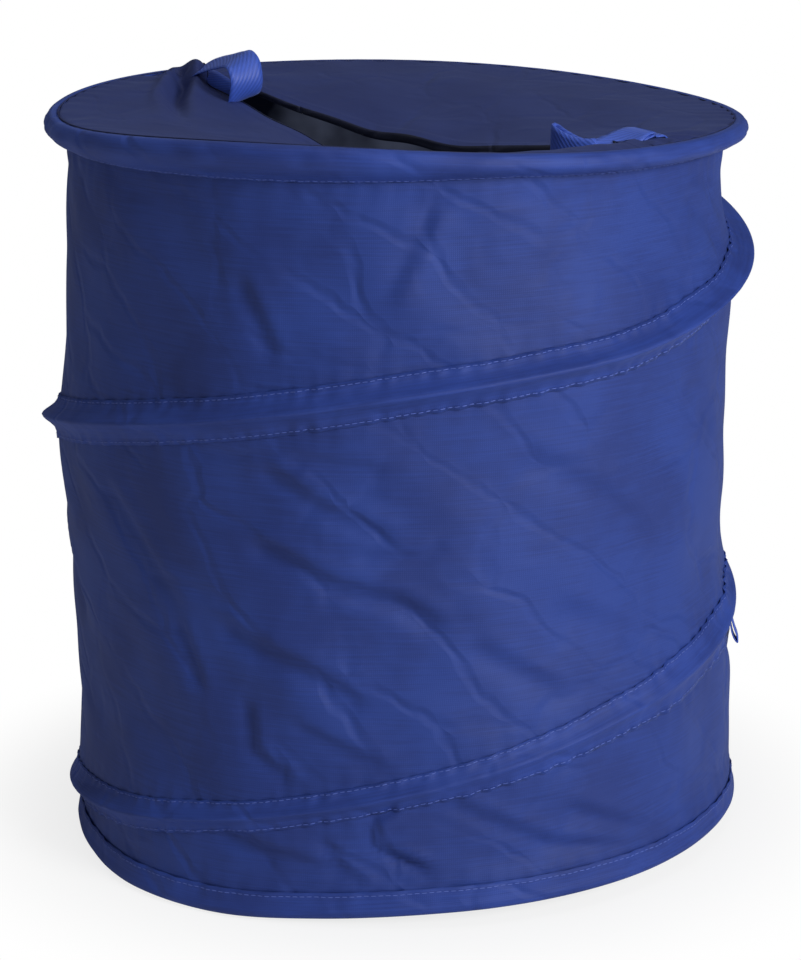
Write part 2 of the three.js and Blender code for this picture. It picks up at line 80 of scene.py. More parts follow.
def curve_through(known_at: Array, known: Array, at: Array) -> Array:
    """A smooth curve through known values: between two of them a cubic whose slope at each is the mean one.

    Args:
        known_at: Rising places of the known values.
        known: The values, one or several columns.
        at: Where the curve is wanted; outside the known range the end value holds.

    Returns:
        The curve's values at the wanted places.
    """
    xs, ys = np.asarray(known_at, float), np.asarray(known, float)
    slope = np.gradient(ys, xs, axis=0)
    place = np.clip(np.asarray(at, float), xs[0], xs[-1])
    i = np.clip(np.searchsorted(xs, place) - 1, 0, len(xs) - 2)
    width = xs[i + 1] - xs[i]
    t = (place - xs[i]) / width
    if ys.ndim > 1:
        t, width = t[..., None], width[..., None]
    start = ys[i] * (1 + 2 * t) * (1 - t) ** 2 + slope[i] * width * t * (1 - t) ** 2
    return start + ys[i + 1] * t * t * (3 - 2 * t) + slope[i + 1] * width * t * t * (t - 1)


def round_curve(known_deg: tuple, known: tuple, degrees: Array) -> Array:
    """A smooth curve round the drum, which closes on itself after a full turn."""
    base = np.asarray(known_deg, float)
    xs = np.concatenate([base - 360, base, base + 360])
    return curve_through(xs, np.tile(np.asarray(known, float), 3), np.mod(degrees, 360))


def smooth(low: float, high: float, x: Array) -> Array:
    """Nothing below low, one above high, and an S between them: 3t^2 - 2t^3."""
    t = np.clip((x - low) / (high - low), 0, 1)
    return t * t * (3 - 2 * t)


def unit(vectors: Array) -> Array:
    """Vectors brought to a length of one."""
    return vectors / np.maximum(np.linalg.norm(vectors, axis=-1, keepdims=True), TINY)


def hump(x: Array, middle: float, spread: float) -> Array:
    """One at the middle, falling off to both sides as a bell curve of the distance in spreads."""
    return np.exp(-(((x - middle) / spread) ** 2))


def lengths_along(line: Array) -> Array:
    """How far each point of a line is from its start, measured along it."""
    return np.concatenate([[0], np.cumsum(np.linalg.norm(np.diff(line, axis=0), axis=1))])


def circle(sides: int, first: Array, second: Array) -> Array:
    """Points of a circle of radius one, turned from a first direction towards a second."""
    turn = np.linspace(0, math.tau, sides, endpoint=False)[:, None]
    return np.cos(turn) * first + np.sin(turn) * second


def round_drum(steps: int) -> Array:
    """Even angles once round the drum, from the seam at the back."""
    return np.linspace(BACK_DEG, BACK_DEG + 360, steps, endpoint=False)


def uneven(beat: Array, waves: tuple) -> Array:
    """A sum of sines of an angle, each given by its waves a turn, its phase and its size."""
    return sum(size * np.sin(count * beat + phase) for count, phase, size in waves)


@dataclass(frozen=True)
class Bulge:
    """A rise or a dip of the cloth round a place, in mm; a power over one gives it a flat top."""

    height: float
    x: float
    y: float
    x_reach: float
    y_reach: float
    power: float = 1.0

    def at(self, x: Array, y: Array) -> Array:
        """The height times e to minus a power of the squared distance in reaches."""
        squared = ((x - self.x) / self.x_reach) ** 2 + ((y - self.y) / self.y_reach) ** 2
        return self.height * np.exp(-(squared**self.power))


@dataclass(frozen=True)
class Puckers:
    """Small waves round the drum: how many a turn, their height in mm and how far a drift shifts them."""

    count: float
    height: float
    shift: float

    def at(self, beat: Array, drift: Array) -> Array:
        """A sine of the angle, its beat made uneven by the drift."""
        return self.height * np.sin(self.count * beat + self.shift * drift)


def beside_line(u: Array, v: Array, spine: Array) -> tuple[Array, Array]:
    """Distance to the nearest stretch of a line of points, and the same signed by the side of it.

    Args:
        u: First coordinate of the places.
        v: Second coordinate of them.
        spine: The line's points, two columns.

    Returns:
        The distances, and the distances straight across the nearest stretch, positive on its left.
    """
    nearest, signed = np.full(u.shape, FAR), np.zeros(u.shape)
    for a, b in zip(spine[:-1], spine[1:]):
        way = b - a
        length = np.hypot(*way)
        t = np.clip(((u - a[0]) * way[0] + (v - a[1]) * way[1]) / length**2, 0, 1)
        du, dv = u - a[0] - t * way[0], v - a[1] - t * way[1]
        distance = np.hypot(du, dv)
        closer = distance < nearest
        nearest = np.where(closer, distance, nearest)
        signed = np.where(closer, (way[0] * dv - way[1] * du) / length, signed)
    return nearest, signed


@dataclass(frozen=True)
class Stance:
    """How the hamper stands, in mm: its hoops warped like a saddle, its wall drawn a little to one side."""

    side_heading: tuple = (math.cos(math.radians(45)), math.sin(math.radians(45)))
    side_heights: tuple = (0, 48, 102, 143, 189, 234, 268, 301, 359, 426, 453, 478, 520)
    left_draw: tuple = (9, 9, 7, 5.1, 2.6, -0.6, -1.5, 0.2, 1.3, 3.5, 4.3, 8.4, 8.4)
    right_draw: tuple = (3.5, 5, 5.7, 2.5, -1, 3.5, 5.5, 6, 6.5, 2, 1.7, 0.9, 0.9)
    rim_harmonics: tuple = (1.11, -1.09, -7.21, 0.41, -3.3, -1.23, 0.49, -0.1, 0.99)
    skirt_deg: tuple = (6, 24, 40, 60, 90, 135, 180, 225, 247, 271, 295, 315, 326, 349)
    skirt_height: tuple = (471.5, 466.7, 460, 456, 458, 463, 466, 467, 469, 471.4, 473, 474, 474.5, 473)
    lift_deg: tuple = (0, 20, 45, 70, 90, 120, 150, 180, 210, 240, 270, 285, 300, 320, 340)
    lift_height: tuple = (10, 10, 6.5, 2, 0.5, 0.5, 2, 3, 1.5, 0.3, 0, 0.3, 3.5, 8.5, 10)
    foot_deg: tuple = (0, 60, 120, 180, 225, 248, 268, 285, 300, 330)
    foot_reach: tuple = (0, 0, 0, 0, -2, 4, 11, 8, 1, 0)
    ring_radius: float = 226.4
    hoop_line: float = 478
    floor_line: float = 4.7
    half_width: float = 230
    foot_fade: float = 120
    skirt_gap: float = 8
    wall_foot_radius: float = 226.8
    wall_taper: float = 0.02
    taper_from: float = 58.8

    def sideways(self, points: Array) -> Array:
        """Points drawn to one side by an amount read between the left and the right edge of the drum.

        Near the floor the cloth also stands out where the bottom hoop is bent, and this fades with height.

        Args:
            points: Places in mm, the last axis x, y, z.

        Returns:
            The places after the draw.
        """
        heading = np.array([*self.side_heading, 0.0])
        across = np.clip(points @ heading / self.half_width, -1, 1)
        left = curve_through(self.side_heights, self.left_draw, points[..., 2])
        right = curve_through(self.side_heights, self.right_draw, points[..., 2])
        draw = left * (1 - across) / 2 + right * (1 + across) / 2
        degrees = np.degrees(np.arctan2(points[..., 1], points[..., 0]))
        inward = np.hypot(points[..., 0], points[..., 1]) / self.ring_radius
        foot = round_curve(self.foot_deg, self.foot_reach, degrees)
        foot = foot * (1 - smooth(0, self.foot_fade, points[..., 2]))
        spread = (foot * inward / self.ring_radius)[..., None] * (points * LEVEL)
        return points + draw[..., None] * heading + spread

    def rim_rise(self, degrees: Array, reach: Array | float = 1.0) -> Array:
        """Height of the top hoop over its mean line: waves of one to four a turn that fade inwards.

        Args:
            degrees: Angles round the drum.
            reach: Share of the hoop's radius; the wave of n a turn fades with its nth power.

        Returns:
            Heights in mm.
        """
        mean, *waves = self.rim_harmonics
        angle = np.radians(degrees)
        rise = mean + np.zeros_like(angle * reach)
        for n in range(1, len(waves) // 2 + 1):
            level, cross = waves[2 * n - 2 : 2 * n]
            rise = rise + reach**n * (level * np.cos(n * angle) + cross * np.sin(n * angle))
        return rise

    def nose_height(self, degrees: Array) -> Array:
        """Height of the top hoop's outer line."""
        return self.hoop_line + self.rim_rise(degrees)

    def skirt(self, degrees: Array) -> Array:
        """Height of the stitch line under the rim, never close under the hoop."""
        found = round_curve(self.skirt_deg, self.skirt_height, degrees)
        return np.minimum(found, self.nose_height(degrees) - self.skirt_gap)

    def lift(self, degrees: Array) -> Array:
        """How far the bottom hoop stands off the floor."""
        return np.maximum(round_curve(self.lift_deg, self.lift_height, degrees), 0)

    def floor_height(self, degrees: Array) -> Array:
        """Height of the bottom hoop's middle line."""
        return self.floor_line + self.lift(degrees)

    def wall_radius(self, z: Array) -> Array:
        """Radius of the smooth drum, which narrows evenly above its foot."""
        return self.wall_foot_radius - self.wall_taper * np.maximum(0, z - self.taper_from)


def ring(radius: Array, degrees: Array, z: Array) -> Array:
    """Points at a radius, an angle and a height."""
    angle = np.radians(degrees)
    return np.stack(np.broadcast_arrays(radius * np.cos(angle), radius * np.sin(angle), z), -1)


class Winding(Enum):
    """How a grid of points closes on itself."""

    OPEN = "open"
    ROWS = "rows"
    BOTH = "both"


def grid_faces(rows: int, columns: int, winding: Winding) -> Array:
    """Four sided faces of a grid, each from one point to its two neighbours and the one across.

    Args:
        rows: Points along the first direction.
        columns: Points along the second.
        winding: Which directions close on themselves.

    Returns:
        Corner numbers, one row a face.
    """
    last_row = rows if winding is not Winding.OPEN else rows - 1
    last_column = columns if winding is Winding.BOTH else columns - 1
    i, j = np.meshgrid(np.arange(last_row), np.arange(last_column), indexing="ij")
    down, right = (i + 1) % rows, (j + 1) % columns
    corners = [i * columns + j, down * columns + j, down * columns + right, i * columns + right]
    return np.stack([c.ravel() for c in corners], 1)


def sleeve_faces(steps: int, columns: int) -> tuple[Array, list]:
    """Faces of a closed section with so many corners carried along so many steps, and its two end caps."""
    faces = grid_faces(columns, steps, Winding.ROWS)
    faces = (faces % steps) * columns + faces // steps
    return faces, [list(range(columns)), list(range(steps * columns - 1, (steps - 1) * columns - 1, -1))]


def put(name: str, data: bpy.types.ID) -> Piece:
    """A new object in the scene, at the origin."""
    thing = bpy.data.objects.new(name, data)
    bpy.context.scene.collection.objects.link(thing)
    return thing


def mesh_piece(
    name: str, points: Array, faces: Array, uv: Array | None = None, extra: list | None = None
) -> Piece:
    """A named mesh at the origin from points in mm, with smooth shading.

    Args:
        name: The piece's name.
        points: Places in mm.
        faces: Corner numbers of the four sided faces.
        uv: Places on the uncut cloth in mm, one for each point, or None.
        extra: Faces with other numbers of corners, such as end caps.

    Returns:
        The new object.
    """
    mesh = bpy.data.meshes.new(name)
    mesh.from_pydata((points.reshape(-1, 3) * MM).tolist(), [], faces.tolist() + (extra or []))
    mesh.polygons.foreach_set("use_smooth", np.ones(len(mesh.polygons), bool))
    if uv is not None:
        layer = mesh.uv_layers.new(name="cloth")
        corner = np.empty(len(mesh.loops), np.int32)
        mesh.loops.foreach_get("vertex_index", corner)
        layer.data.foreach_set("uv", (uv.reshape(-1, 2)[corner] * MM).ravel().astype(np.float32))
    mesh.update()
    return put(name, mesh)


def dress(piece: Piece, finish: Finish, body: str, slot: str, *nodes: str) -> None:
    """Gives a piece its finish and the body that it rides on, and hides the CAD nodes that it stands for.

    Args:
        piece: The piece.
        finish: Its material.
        body: The body's name.
        slot: The record's slot; not used.
        nodes: Names of the nodes.
    """
    piece.data.materials.append(finish)
    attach(piece, body)
    if nodes:
        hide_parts(*nodes)


def flatten(piece: Piece) -> None:
    """Gives a piece its own copy of its mesh."""
    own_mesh(piece)


def thicken(piece: Piece, thickness: float, inside_slot: int = 0) -> None:
    """Cloth gets its thickness inwards, and its inner face the next material when one is asked for."""
    solid = piece.modifiers.new("cloth thickness", "SOLIDIFY")
    solid.thickness = thickness * MM
    solid.offset = -1
    solid.material_offset = inside_slot


def frames_along(line: Array, closed: bool) -> tuple[Array, Array, Array]:
    """Direction, outward side and upright of a line round the drum, the side level and away from the axis.

    Args:
        line: Places in mm.
        closed: Whether the last point joins the first.

    Returns:
        Three arrays of unit vectors.
    """
    if closed:
        along = unit(np.roll(line, -1, 0) - np.roll(line, 1, 0))
    else:
        along = unit(np.gradient(line, axis=0))
    outward = unit(line * LEVEL)
    upright = unit(np.cross(outward, along))
    return along, np.cross(along, upright), upright


def tube(name: str, line: Array, radius: float, sides: int, closed: bool) -> Piece:
    """A round wire along a line: a circle of points in the plane across each place of the line.

    Args:
        name: The piece's name.
        line: Middle line in mm.
        radius: Wire's radius in mm.
        sides: Corners of its section.
        closed: Whether the wire is a ring.

    Returns:
        The new object.
    """
    _, outward, upright = frames_along(line, closed)
    points = line[:, None] + radius * circle(sides, outward[:, None], upright[:, None])
    if closed:
        faces, caps = grid_faces(len(line), sides, Winding.BOTH), []
    else:
        faces, caps = sleeve_faces(len(line), sides)
        faces = faces[:, ::-1]
    piece = mesh_piece(name, points, faces, None, caps)
    face_outwards(piece)
    return piece


def face_outwards(piece: Piece) -> None:
    """Turns a closed mesh's faces to point outwards, by the sign of the volume that they enclose."""
    mesh = piece.data
    mesh.calc_loop_triangles()
    corners = np.empty(3 * len(mesh.loop_triangles), np.int32)
    mesh.loop_triangles.foreach_get("vertices", corners)
    places = np.empty(3 * len(mesh.vertices))
    mesh.vertices.foreach_get("co", places)
    a, b, c = np.moveaxis(places.reshape(-1, 3)[corners.reshape(-1, 3)], 1, 0)
    if np.einsum("ij,ij->", a, np.cross(b, c)) < 0:
        mesh.flip_normals()


@dataclass(frozen=True)
class Stitching:
    """One row of machine stitches: short flat beads of thread, sunk a little into the cloth, in mm."""

    pitch: float = 4.6
    length: float = 3.3
    width: float = 0.75
    height: float = 0.4
    rings: tuple = ((-0.5, 0.35), (-0.3, 0.9), (0.3, 0.9), (0.5, 0.35))
    sides: int = 6

    def row(self, name: str, line: Array, normal: Array) -> Piece:
        """Beads spaced evenly along a line: each is a few rings of corners that swell at the middle.

        Args:
            name: The row's name.
            line: The stitch line on the cloth's face, in mm.
            normal: The cloth's outward direction along it.

        Returns:
            The row as one object.
        """
        reach = lengths_along(line)
        count = max(int(reach[-1] / self.pitch), 1)
        at = (np.arange(count) + 0.5) * reach[-1] / count
        middle, out, along = (
            np.stack([np.interp(at, reach, column) for column in values.T], 1)
            for values in (line, normal, np.gradient(line, axis=0))
        )
        out, along = unit(out), unit(along)
        side = unit(np.cross(out, along))
        turn = np.linspace(0, 2 * np.pi, self.sides, endpoint=False)
        place, swell = np.array(self.rings).T
        across = np.cos(turn) * self.width / 2
        above = np.sin(turn) * self.height / 2
        points = (
            middle[:, None, None]
            + along[:, None, None] * (place * self.length)[:, None, None]
            + side[:, None, None] * (swell[:, None] * across)[..., None]
            + out[:, None, None] * (swell[:, None] * above)[..., None]
        )
        per = len(place) * self.sides
        one, _ = sleeve_faces(len(place), self.sides)
        faces = (np.arange(count)[:, None, None] * per + one[None]).reshape(-1, 4)
        caps = []
        for ring_start, order in ((0, 1), (per - self.sides, -1)):
            fan = ring_start + np.arange(self.sides)[::order]
            caps += (np.arange(count)[:, None] * per + fan[None]).tolist()
        piece = mesh_piece(name, points, faces, None, caps)
        face_outwards(piece)
        return piece


def seam_round(name: str, body: str, line: Array, thread: Finish) -> Piece:
    """A row of stitches that closes round the drum.

    Args:
        name: The row's name.
        body: The body that it rides on.
        line: The seam's line in mm.
        thread: The thread's finish.

    Returns:
        The row.
    """
    line = np.concatenate([line, line[:1]])
    outward = unit(line * LEVEL)
    row = Stitching().row(name, line + THREAD_LIFT * outward, outward)
    dress(row, thread, body, "casing")
    return row


def casing_strip(name: str, points: Array, along: Array, across: Array, winding: Winding) -> Piece:
    """A strip of cloth that is sewn over a wire, from its points along and across it.

    Args:
        name: The strip's name.
        points: Places of its outer face in mm, one row for each step along it.
        along: Places along the uncut cloth in mm.
        across: Places across the uncut cloth in mm.
        winding: How it closes.

    Returns:
        The strip.
    """
    rows, columns = points.shape[:2]
    flat = np.stack([np.repeat(along, columns), np.tile(across, rows)], -1)
    strip = mesh_piece(name, points, grid_faces(rows, columns, winding), flat)
    thicken(strip, STRIP_CLOTH)
    return strip


def strap_piece(name: str, faces_mm: list, across: Array, along: Array) -> Piece:
    """A flat strap from its two broad faces, each a row of points across it for each step along it.

    Args:
        name: The strap's name.
        faces_mm: The points of the upper and of the lower face, in mm.
        across: The places of a row's points over the strap's width, in mm.
        along: The places of the rows along the strap, in mm.

    Returns:
        The strap.
    """
    points = np.concatenate([faces_mm[0], faces_mm[1][:, ::-1]], axis=1)
    steps, columns = points.shape[:2]
    faces, caps = sleeve_faces(steps, columns)
    width = np.concatenate([across, across[::-1]])
    flat = np.stack([np.tile(width, steps), np.repeat(along, columns)], -1)
    strap = mesh_piece(name, points, faces, flat, caps)
    face_outwards(strap)
    return strap


def linear(hex_colour: str, gain: float = 1.0) -> tuple:
    """A colour written as sRGB hex, made linear and brought up or down by a factor.

    Args:
        hex_colour: Six hex digits after a hash.
        gain: Factor on the linear values.

    Returns:
        Red, green, blue and an alpha of one.
    """
    srgb = np.array([int(hex_colour[i : i + 2], 16) for i in (1, 3, 5)]) / 255
    value = np.where(srgb <= 0.04045, srgb / 12.92, ((srgb + 0.055) / 1.055) ** 2.4) * gain
    return (*np.clip(value, 0, 1).tolist(), 1.0)


class Shader:
    """The node tree of a material or the world: one method adds a node, others name what repeats."""

    def __init__(self, owner: bpy.types.ID, output: str = "OutputMaterial") -> None:
        """Starts an empty tree with its output node.

        Args:
            owner: The material or the world.
            output: Kind of its output node.
        """
        owner.use_nodes = True
        self.owner, self.tree = owner, owner.node_tree
        self.tree.nodes.clear()
        self.output = self.add(output)

    def add(self, kind: str, settings: dict | None = None, **inputs) -> bpy.types.Node:
        """Adds a node with its settings, values and links.

        Args:
            kind: The node's type, without the word ShaderNode before it.
            settings: Properties of the node.
            inputs: Socket names with spaces as underscores, or i0, i1 and so on for the socket's number; each
                holds a value, or an output socket to link.

        Returns:
            The node.
        """
        node = self.tree.nodes.new(f"ShaderNode{kind}")
        for key, value in (settings or {}).items():
            setattr(node, key, value)
        for key, value in inputs.items():
            socket = node.inputs[int(key[1:]) if key[1:].isdigit() else key.replace("_", " ")]
            if isinstance(value, Socket):
                self.tree.links.new(value, socket)
            else:
                socket.default_value = value
        return node

    def place(self) -> Socket:
        """Places in metres on the piece."""
        return self.add("TexCoord").outputs["Object"]

    def cloth(self) -> Socket:
        """Places in metres on the uncut cloth."""
        return self.add("UVMap", {"uv_map": "cloth"}).outputs["UV"]

    def maths(self, operation: str, *values, clamp: bool = False) -> Socket:
        """The result of a sum, a product or the like of values and sockets."""
        inputs = {f"i{number}": value for number, value in enumerate(values)}
        return self.add("Math", {"operation": operation, "use_clamp": clamp}, **inputs).outputs["Value"]

    def ramp(self, value: Socket, known: tuple, wanted: tuple, way: str = "LINEAR") -> Socket:
        """Brings a value from its known range to the wanted one.

        Args:
            value: Socket of the value.
            known: Where it starts and ends.
            wanted: What these are brought to.
            way: How it goes between them.

        Returns:
            The socket of the result.
        """
        ends = dict(From_Min=known[0], From_Max=known[1], To_Min=wanted[0], To_Max=wanted[1])
        return self.add("MapRange", {"interpolation_type": way}, Value=value, **ends).outputs["Result"]

    def noise(self, where: Socket, size_mm: float, detail: float, **more) -> bpy.types.Node:
        """Soft patches of about a size."""
        return self.add("TexNoise", Vector=where, Scale=1 / (size_mm * MM), Detail=detail, **more)

    def waves(self, where: Socket, way: str, pitch_mm: float, **more) -> Socket:
        """Straight waves across the cloth, so many mm apart."""
        scale = WAVE_PERIOD / (pitch_mm * MM)
        return self.add("TexWave", {"bands_direction": way}, Vector=where, Scale=scale, **more).outputs["Fac"]

    def bump(self, height: Socket, depth_mm: float, strength: float, **more) -> Socket:
        """A surface that is raised by a height."""
        more.update(Height=height, Distance=depth_mm * MM, Strength=strength)
        return self.add("Bump", **more).outputs["Normal"]

    def surface(self, **inputs) -> bpy.types.Node:
        """The main surface, linked to the output."""
        node = self.add("BsdfPrincipled", **inputs)
        self.finish(node.outputs["BSDF"])
        return node

    def finish(self, shown: Socket) -> None:
        """Links what is shown to the output."""
        self.tree.links.new(shown, self.output.inputs["Surface"])


@dataclass(frozen=True)
class WovenPolyester:
    """Thin woven polyester: a close plain weave with a soft sheen and the small crumples of packed cloth."""

    name: str
    colour: str
    pale: str
    sheen: float = 0.12
    sheen_tint: str = "#7a93dc"
    roughness: float = 0.68
    thread_mm: float = 1.3
    thread_depth_mm: float = 0.12
    crumple_mm: float = 30.0
    crumple_depth_mm: float = 1.5
    crease_mm: float = 44.0
    crease: float = 0.9
    crease_way_deg: float = -38.0
    crease_share: float = 0.11
    slub_mm: tuple = (38.0, 1.5)
    slub: float = 0.36
    # painted glow: emission on the cloth that stands in for light through it, and the glow's colour
    glow: float = 0.0
    glow_colour: str = "#7c86a6"

    def material(self) -> Finish:
        """Mottled dye, level streaks, threads by two crossed waves, and crumples by two sizes of noise.

        Returns:
            The finished material.
        """
        shader = Shader(bpy.data.materials.new(self.name))
        where, uv = shader.place(), shader.cloth()
        patches = shader.noise(where, 2 * self.crumple_mm, 3.0)
        shade = shader.ramp(patches.outputs["Fac"], (0.35, 0.65), (0.0, 1.0))
        # Thick places in the yarn show as short level streaks, drawn wider than the real ones
        scale = (*(1 / (size * MM) for size in self.slub_mm), 1.0)
        drawn = shader.add("Mapping", Vector=uv, Scale=scale).outputs["Vector"]
        streaks = shader.add("TexNoise", Vector=drawn, Scale=1.0, Detail=2.0)
        streak = shader.ramp(streaks.outputs["Fac"], (0.3, 0.7), (-self.slub, self.slub))
        mottle = shader.maths("ADD", shade, streak, clamp=True)
        tones = dict(i6=linear(self.colour), i7=linear(self.pale))
        tone = shader.add("Mix", {"data_type": "RGBA"}, i0=mottle, **tones)
        # The real threads lie 0.3 mm apart, too fine for the picture, so they are drawn four times as coarse
        weave = shader.maths("MULTIPLY", *(shader.waves(uv, way, self.thread_mm) for way in ("X", "Y")))
        crumple = shader.noise(where, self.crumple_mm, 4.0, Roughness=0.45, Distortion=0.6)
        crumple.noise_type = "RIDGED_MULTIFRACTAL"
        creases = self.creases(shader, uv, shade)
        height = shader.maths("MULTIPLY_ADD", creases, -self.crease, crumple.outputs["Fac"])
        soft = shader.bump(height, self.crumple_depth_mm, 0.75)
        surface = shader.surface(
            Base_Color=tone.outputs[2], Roughness=self.roughness, IOR=1.46, Sheen_Weight=self.sheen,
            Sheen_Roughness=0.45, Sheen_Tint=linear(self.sheen_tint),
            Normal=shader.bump(weave, self.thread_depth_mm, 0.5, Normal=soft),
        )
        if self.glow:
            # Painted glow: faint patchy emission on the inner face stands in for daylight through the thin
            # cloth
            through = shader.maths("MULTIPLY", shade, self.glow)
            surface.inputs["Emission Color"].default_value = linear(self.glow_colour)
            shader.tree.links.new(through, surface.inputs["Emission Strength"])
        return shader.owner

    def creases(self, shader: Shader, uv: Socket, patchy: Socket) -> Socket:
        """Sharp creases: the borders of drawn out cells, bent by a broad noise and kept to patches.

        Args:
            shader: The material's nodes.
            uv: The cloth's own flat places.
            patchy: Where the creases show, from 0 to 1.

        Returns:
            The socket of the creases' depth.
        """
        form = dict(Rotation=(0.0, 0.0, math.radians(self.crease_way_deg)), Scale=(2.3, 1.0, 1.0))
        drawn = shader.add("Mapping", {"vector_type": "TEXTURE"}, Vector=uv, **form).outputs["Vector"]
        bend = shader.noise(uv, self.crease_mm, 2.0).outputs["Color"]
        reach = (self.crease_mm * 0.5 * MM,) * 3
        shift = shader.add("VectorMath", {"operation": "MULTIPLY_ADD"}, i0=bend, i1=reach, i2=drawn)
        kind = {"feature": "DISTANCE_TO_EDGE", "voronoi_dimensions": "2D"}
        scale = 1 / (self.crease_mm * MM)
        cells = shader.add("TexVoronoi", kind, Vector=shift.outputs["Vector"], Scale=scale)
        line = shader.ramp(cells.outputs["Distance"], (0.0, self.crease_share), (1.0, 0.0), "SMOOTHSTEP")
        return shader.maths("MULTIPLY", line, patchy)


@dataclass(frozen=True)
class RibbedWebbing:
    """Polypropylene webbing: slanting ribs of thick yarn that catch the light on one side."""

    name: str
    colour: str = "#3a5abf"
    # The grooves between the ribs are painted shade, a darker colour than the ribs
    groove: str = "#304eac"
    sheen_tint: str = "#9fb0ee"
    rib_mm: float = 2.6
    rib_depth_mm: float = 0.3
    yarn_mm: float = 1.2
    slant_deg: float = 32.0

    def material(self) -> Finish:
        """Slanting waves across the strap set the ribs' height and paint shade into the grooves between them.

        Returns:
            The finished material.
        """
        shader = Shader(bpy.data.materials.new(self.name))
        uv = shader.cloth()
        slant = shader.add("Mapping", Vector=uv, Rotation=(0.0, 0.0, math.radians(self.slant_deg)))
        ribs = shader.waves(slant.outputs["Vector"], "X", self.rib_mm, Distortion=0.4)
        yarn = shader.noise(uv, self.yarn_mm, 2.0).outputs["Fac"]
        # Where the waves are low the colour darkens: painted shade in the grooves
        tones = dict(i6=linear(self.groove), i7=linear(self.colour))
        tone = shader.add("Mix", {"data_type": "RGBA"}, i0=ribs, **tones)
        height = shader.maths("MULTIPLY_ADD", yarn, 0.3, ribs)
        shader.surface(
            Base_Color=tone.outputs[2], Roughness=0.55, IOR=1.49, Sheen_Weight=0.2,
            Sheen_Tint=linear(self.sheen_tint), Normal=shader.bump(height, self.rib_depth_mm, 0.5),
        )
        return shader.owner


@dataclass(frozen=True)
class PlainFinish:
    """Thread, steel wire, crimped sleeve or moulded plastic: one colour with a fine grain in its gloss."""

    name: str
    colour: str
    roughness: float
    metallic: float = 0.0
    grain_mm: float = 2.0
    grain_depth_mm: float = 0.02
    gloss_share: float = 0.15

    def material(self) -> Finish:
        """A fine noise roughens the surface and breaks up its gloss.

        Returns:
            The finished material.
        """
        shader = Shader(bpy.data.materials.new(self.name))
        grain = shader.noise(shader.place(), self.grain_mm, 2.0).outputs["Fac"]
        bounds = (self.roughness * (1 - self.gloss_share), self.roughness * (1 + self.gloss_share))
        shader.surface(
            Base_Color=linear(self.colour), Metallic=self.metallic,
            Roughness=shader.ramp(grain, (0.0, 1.0), bounds),
            Normal=shader.bump(grain, self.grain_depth_mm, 0.5),
        )
        return shader.owner


def made_of(finish: type, *values, **more) -> Finish:
    """A field for a finish's material, which is made once."""
    return field(default_factory=lambda: finish(*values, **more).material())


@dataclass
class Finishes:
    """The hamper's finishes, each made once."""

    wall: Finish = made_of(WovenPolyester, "drum polyester", "#172e74", "#1e3986")
    casing: Finish = made_of(WovenPolyester, "casing polyester", "#19317a", "#223e90")
    lid: Finish = made_of(
        WovenPolyester, "lid polyester", "#19275f", "#202f69", sheen=0.08, crease=0.5
    )
    # The inner face has a painted glow that stands in for daylight through the thin cloth
    inside: Finish = made_of(
        WovenPolyester, "uncoated inner face", "#323a50", "#4a4a4c", sheen=0.08, roughness=0.85, glow=0.15
    )
    webbing: Finish = made_of(RibbedWebbing, "ribbed webbing")
    # A near-black band that paints the shade under the flaps' free edges
    binding: Finish = made_of(
        WovenPolyester, "edge binding tape", "#0d1226", "#141b38", sheen=0.1
    )
    # A dark cord that paints the shade in the groove between rim and lid
    painted_groove_shade: Finish = made_of(PlainFinish, "dark seam thread", "#16204c", 0.8)
    thread: Finish = made_of(PlainFinish, "polyester sewing thread", "#4c60ae", 0.6)
    wire: Finish = made_of(PlainFinish, "drawn spring steel", "#8d9196", 0.32, 1.0, 0.8)
    crimp: Finish = made_of(PlainFinish, "zinc plated crimp", "#b4b7ba", 0.38, 1.0, 1.5)
    cap: Finish = made_of(PlainFinish, "moulded cap plastic", "#1c1d20", 0.5)


@dataclass(frozen=True)
class Fold:
    """One fold pressed into the wall: a line of angles and heights, and its size in mm."""

    line: tuple
    depth: float
    width: float
    one_sided: float = 0.6
    bell_share: float = 0.8
    crease_share: float = 0.45
    dip_share: float = 0.6
    swell_share: float = 2.6

    def press(self, degrees: Array, z: Array, radius: float) -> Array:
        """How far the fold moves the cloth outwards.

        The distance to the fold's line is signed by its side. The cloth dips along the line as a bell curve
        and swells beside it on one side, as the distance times a bell curve. Both fade at the line's ends.

        Args:
            degrees: Angles of the cloth's points.
            z: Heights of the points.
            radius: Radius that turns angles to lengths.

        Returns:
            Moves in mm, outwards positive.
        """
        arc = math.radians(1) * radius
        spine = np.array(self.line, float) * np.array([arc, 1])
        middle = spine[:, 0].mean()
        u = degrees * arc
        u = middle + np.mod(u - middle + math.pi * radius, math.tau * radius) - math.pi * radius
        nearest, signed = beside_line(u, z, spine)
        width = self.bell_share * self.width
        bell, crease = hump(nearest, 0, width), np.exp(-nearest / (self.crease_share * width))
        dip = -self.depth * self.dip_share * (bell + crease) * (1 - self.one_sided)
        return dip + self.depth * self.one_sided * self.swell_share * (signed / width) * bell


@dataclass
class Assembly:
    """What each sub-assembly is built with: how the hamper stands, and its finishes."""

    stance: Stance
    finishes: Finishes


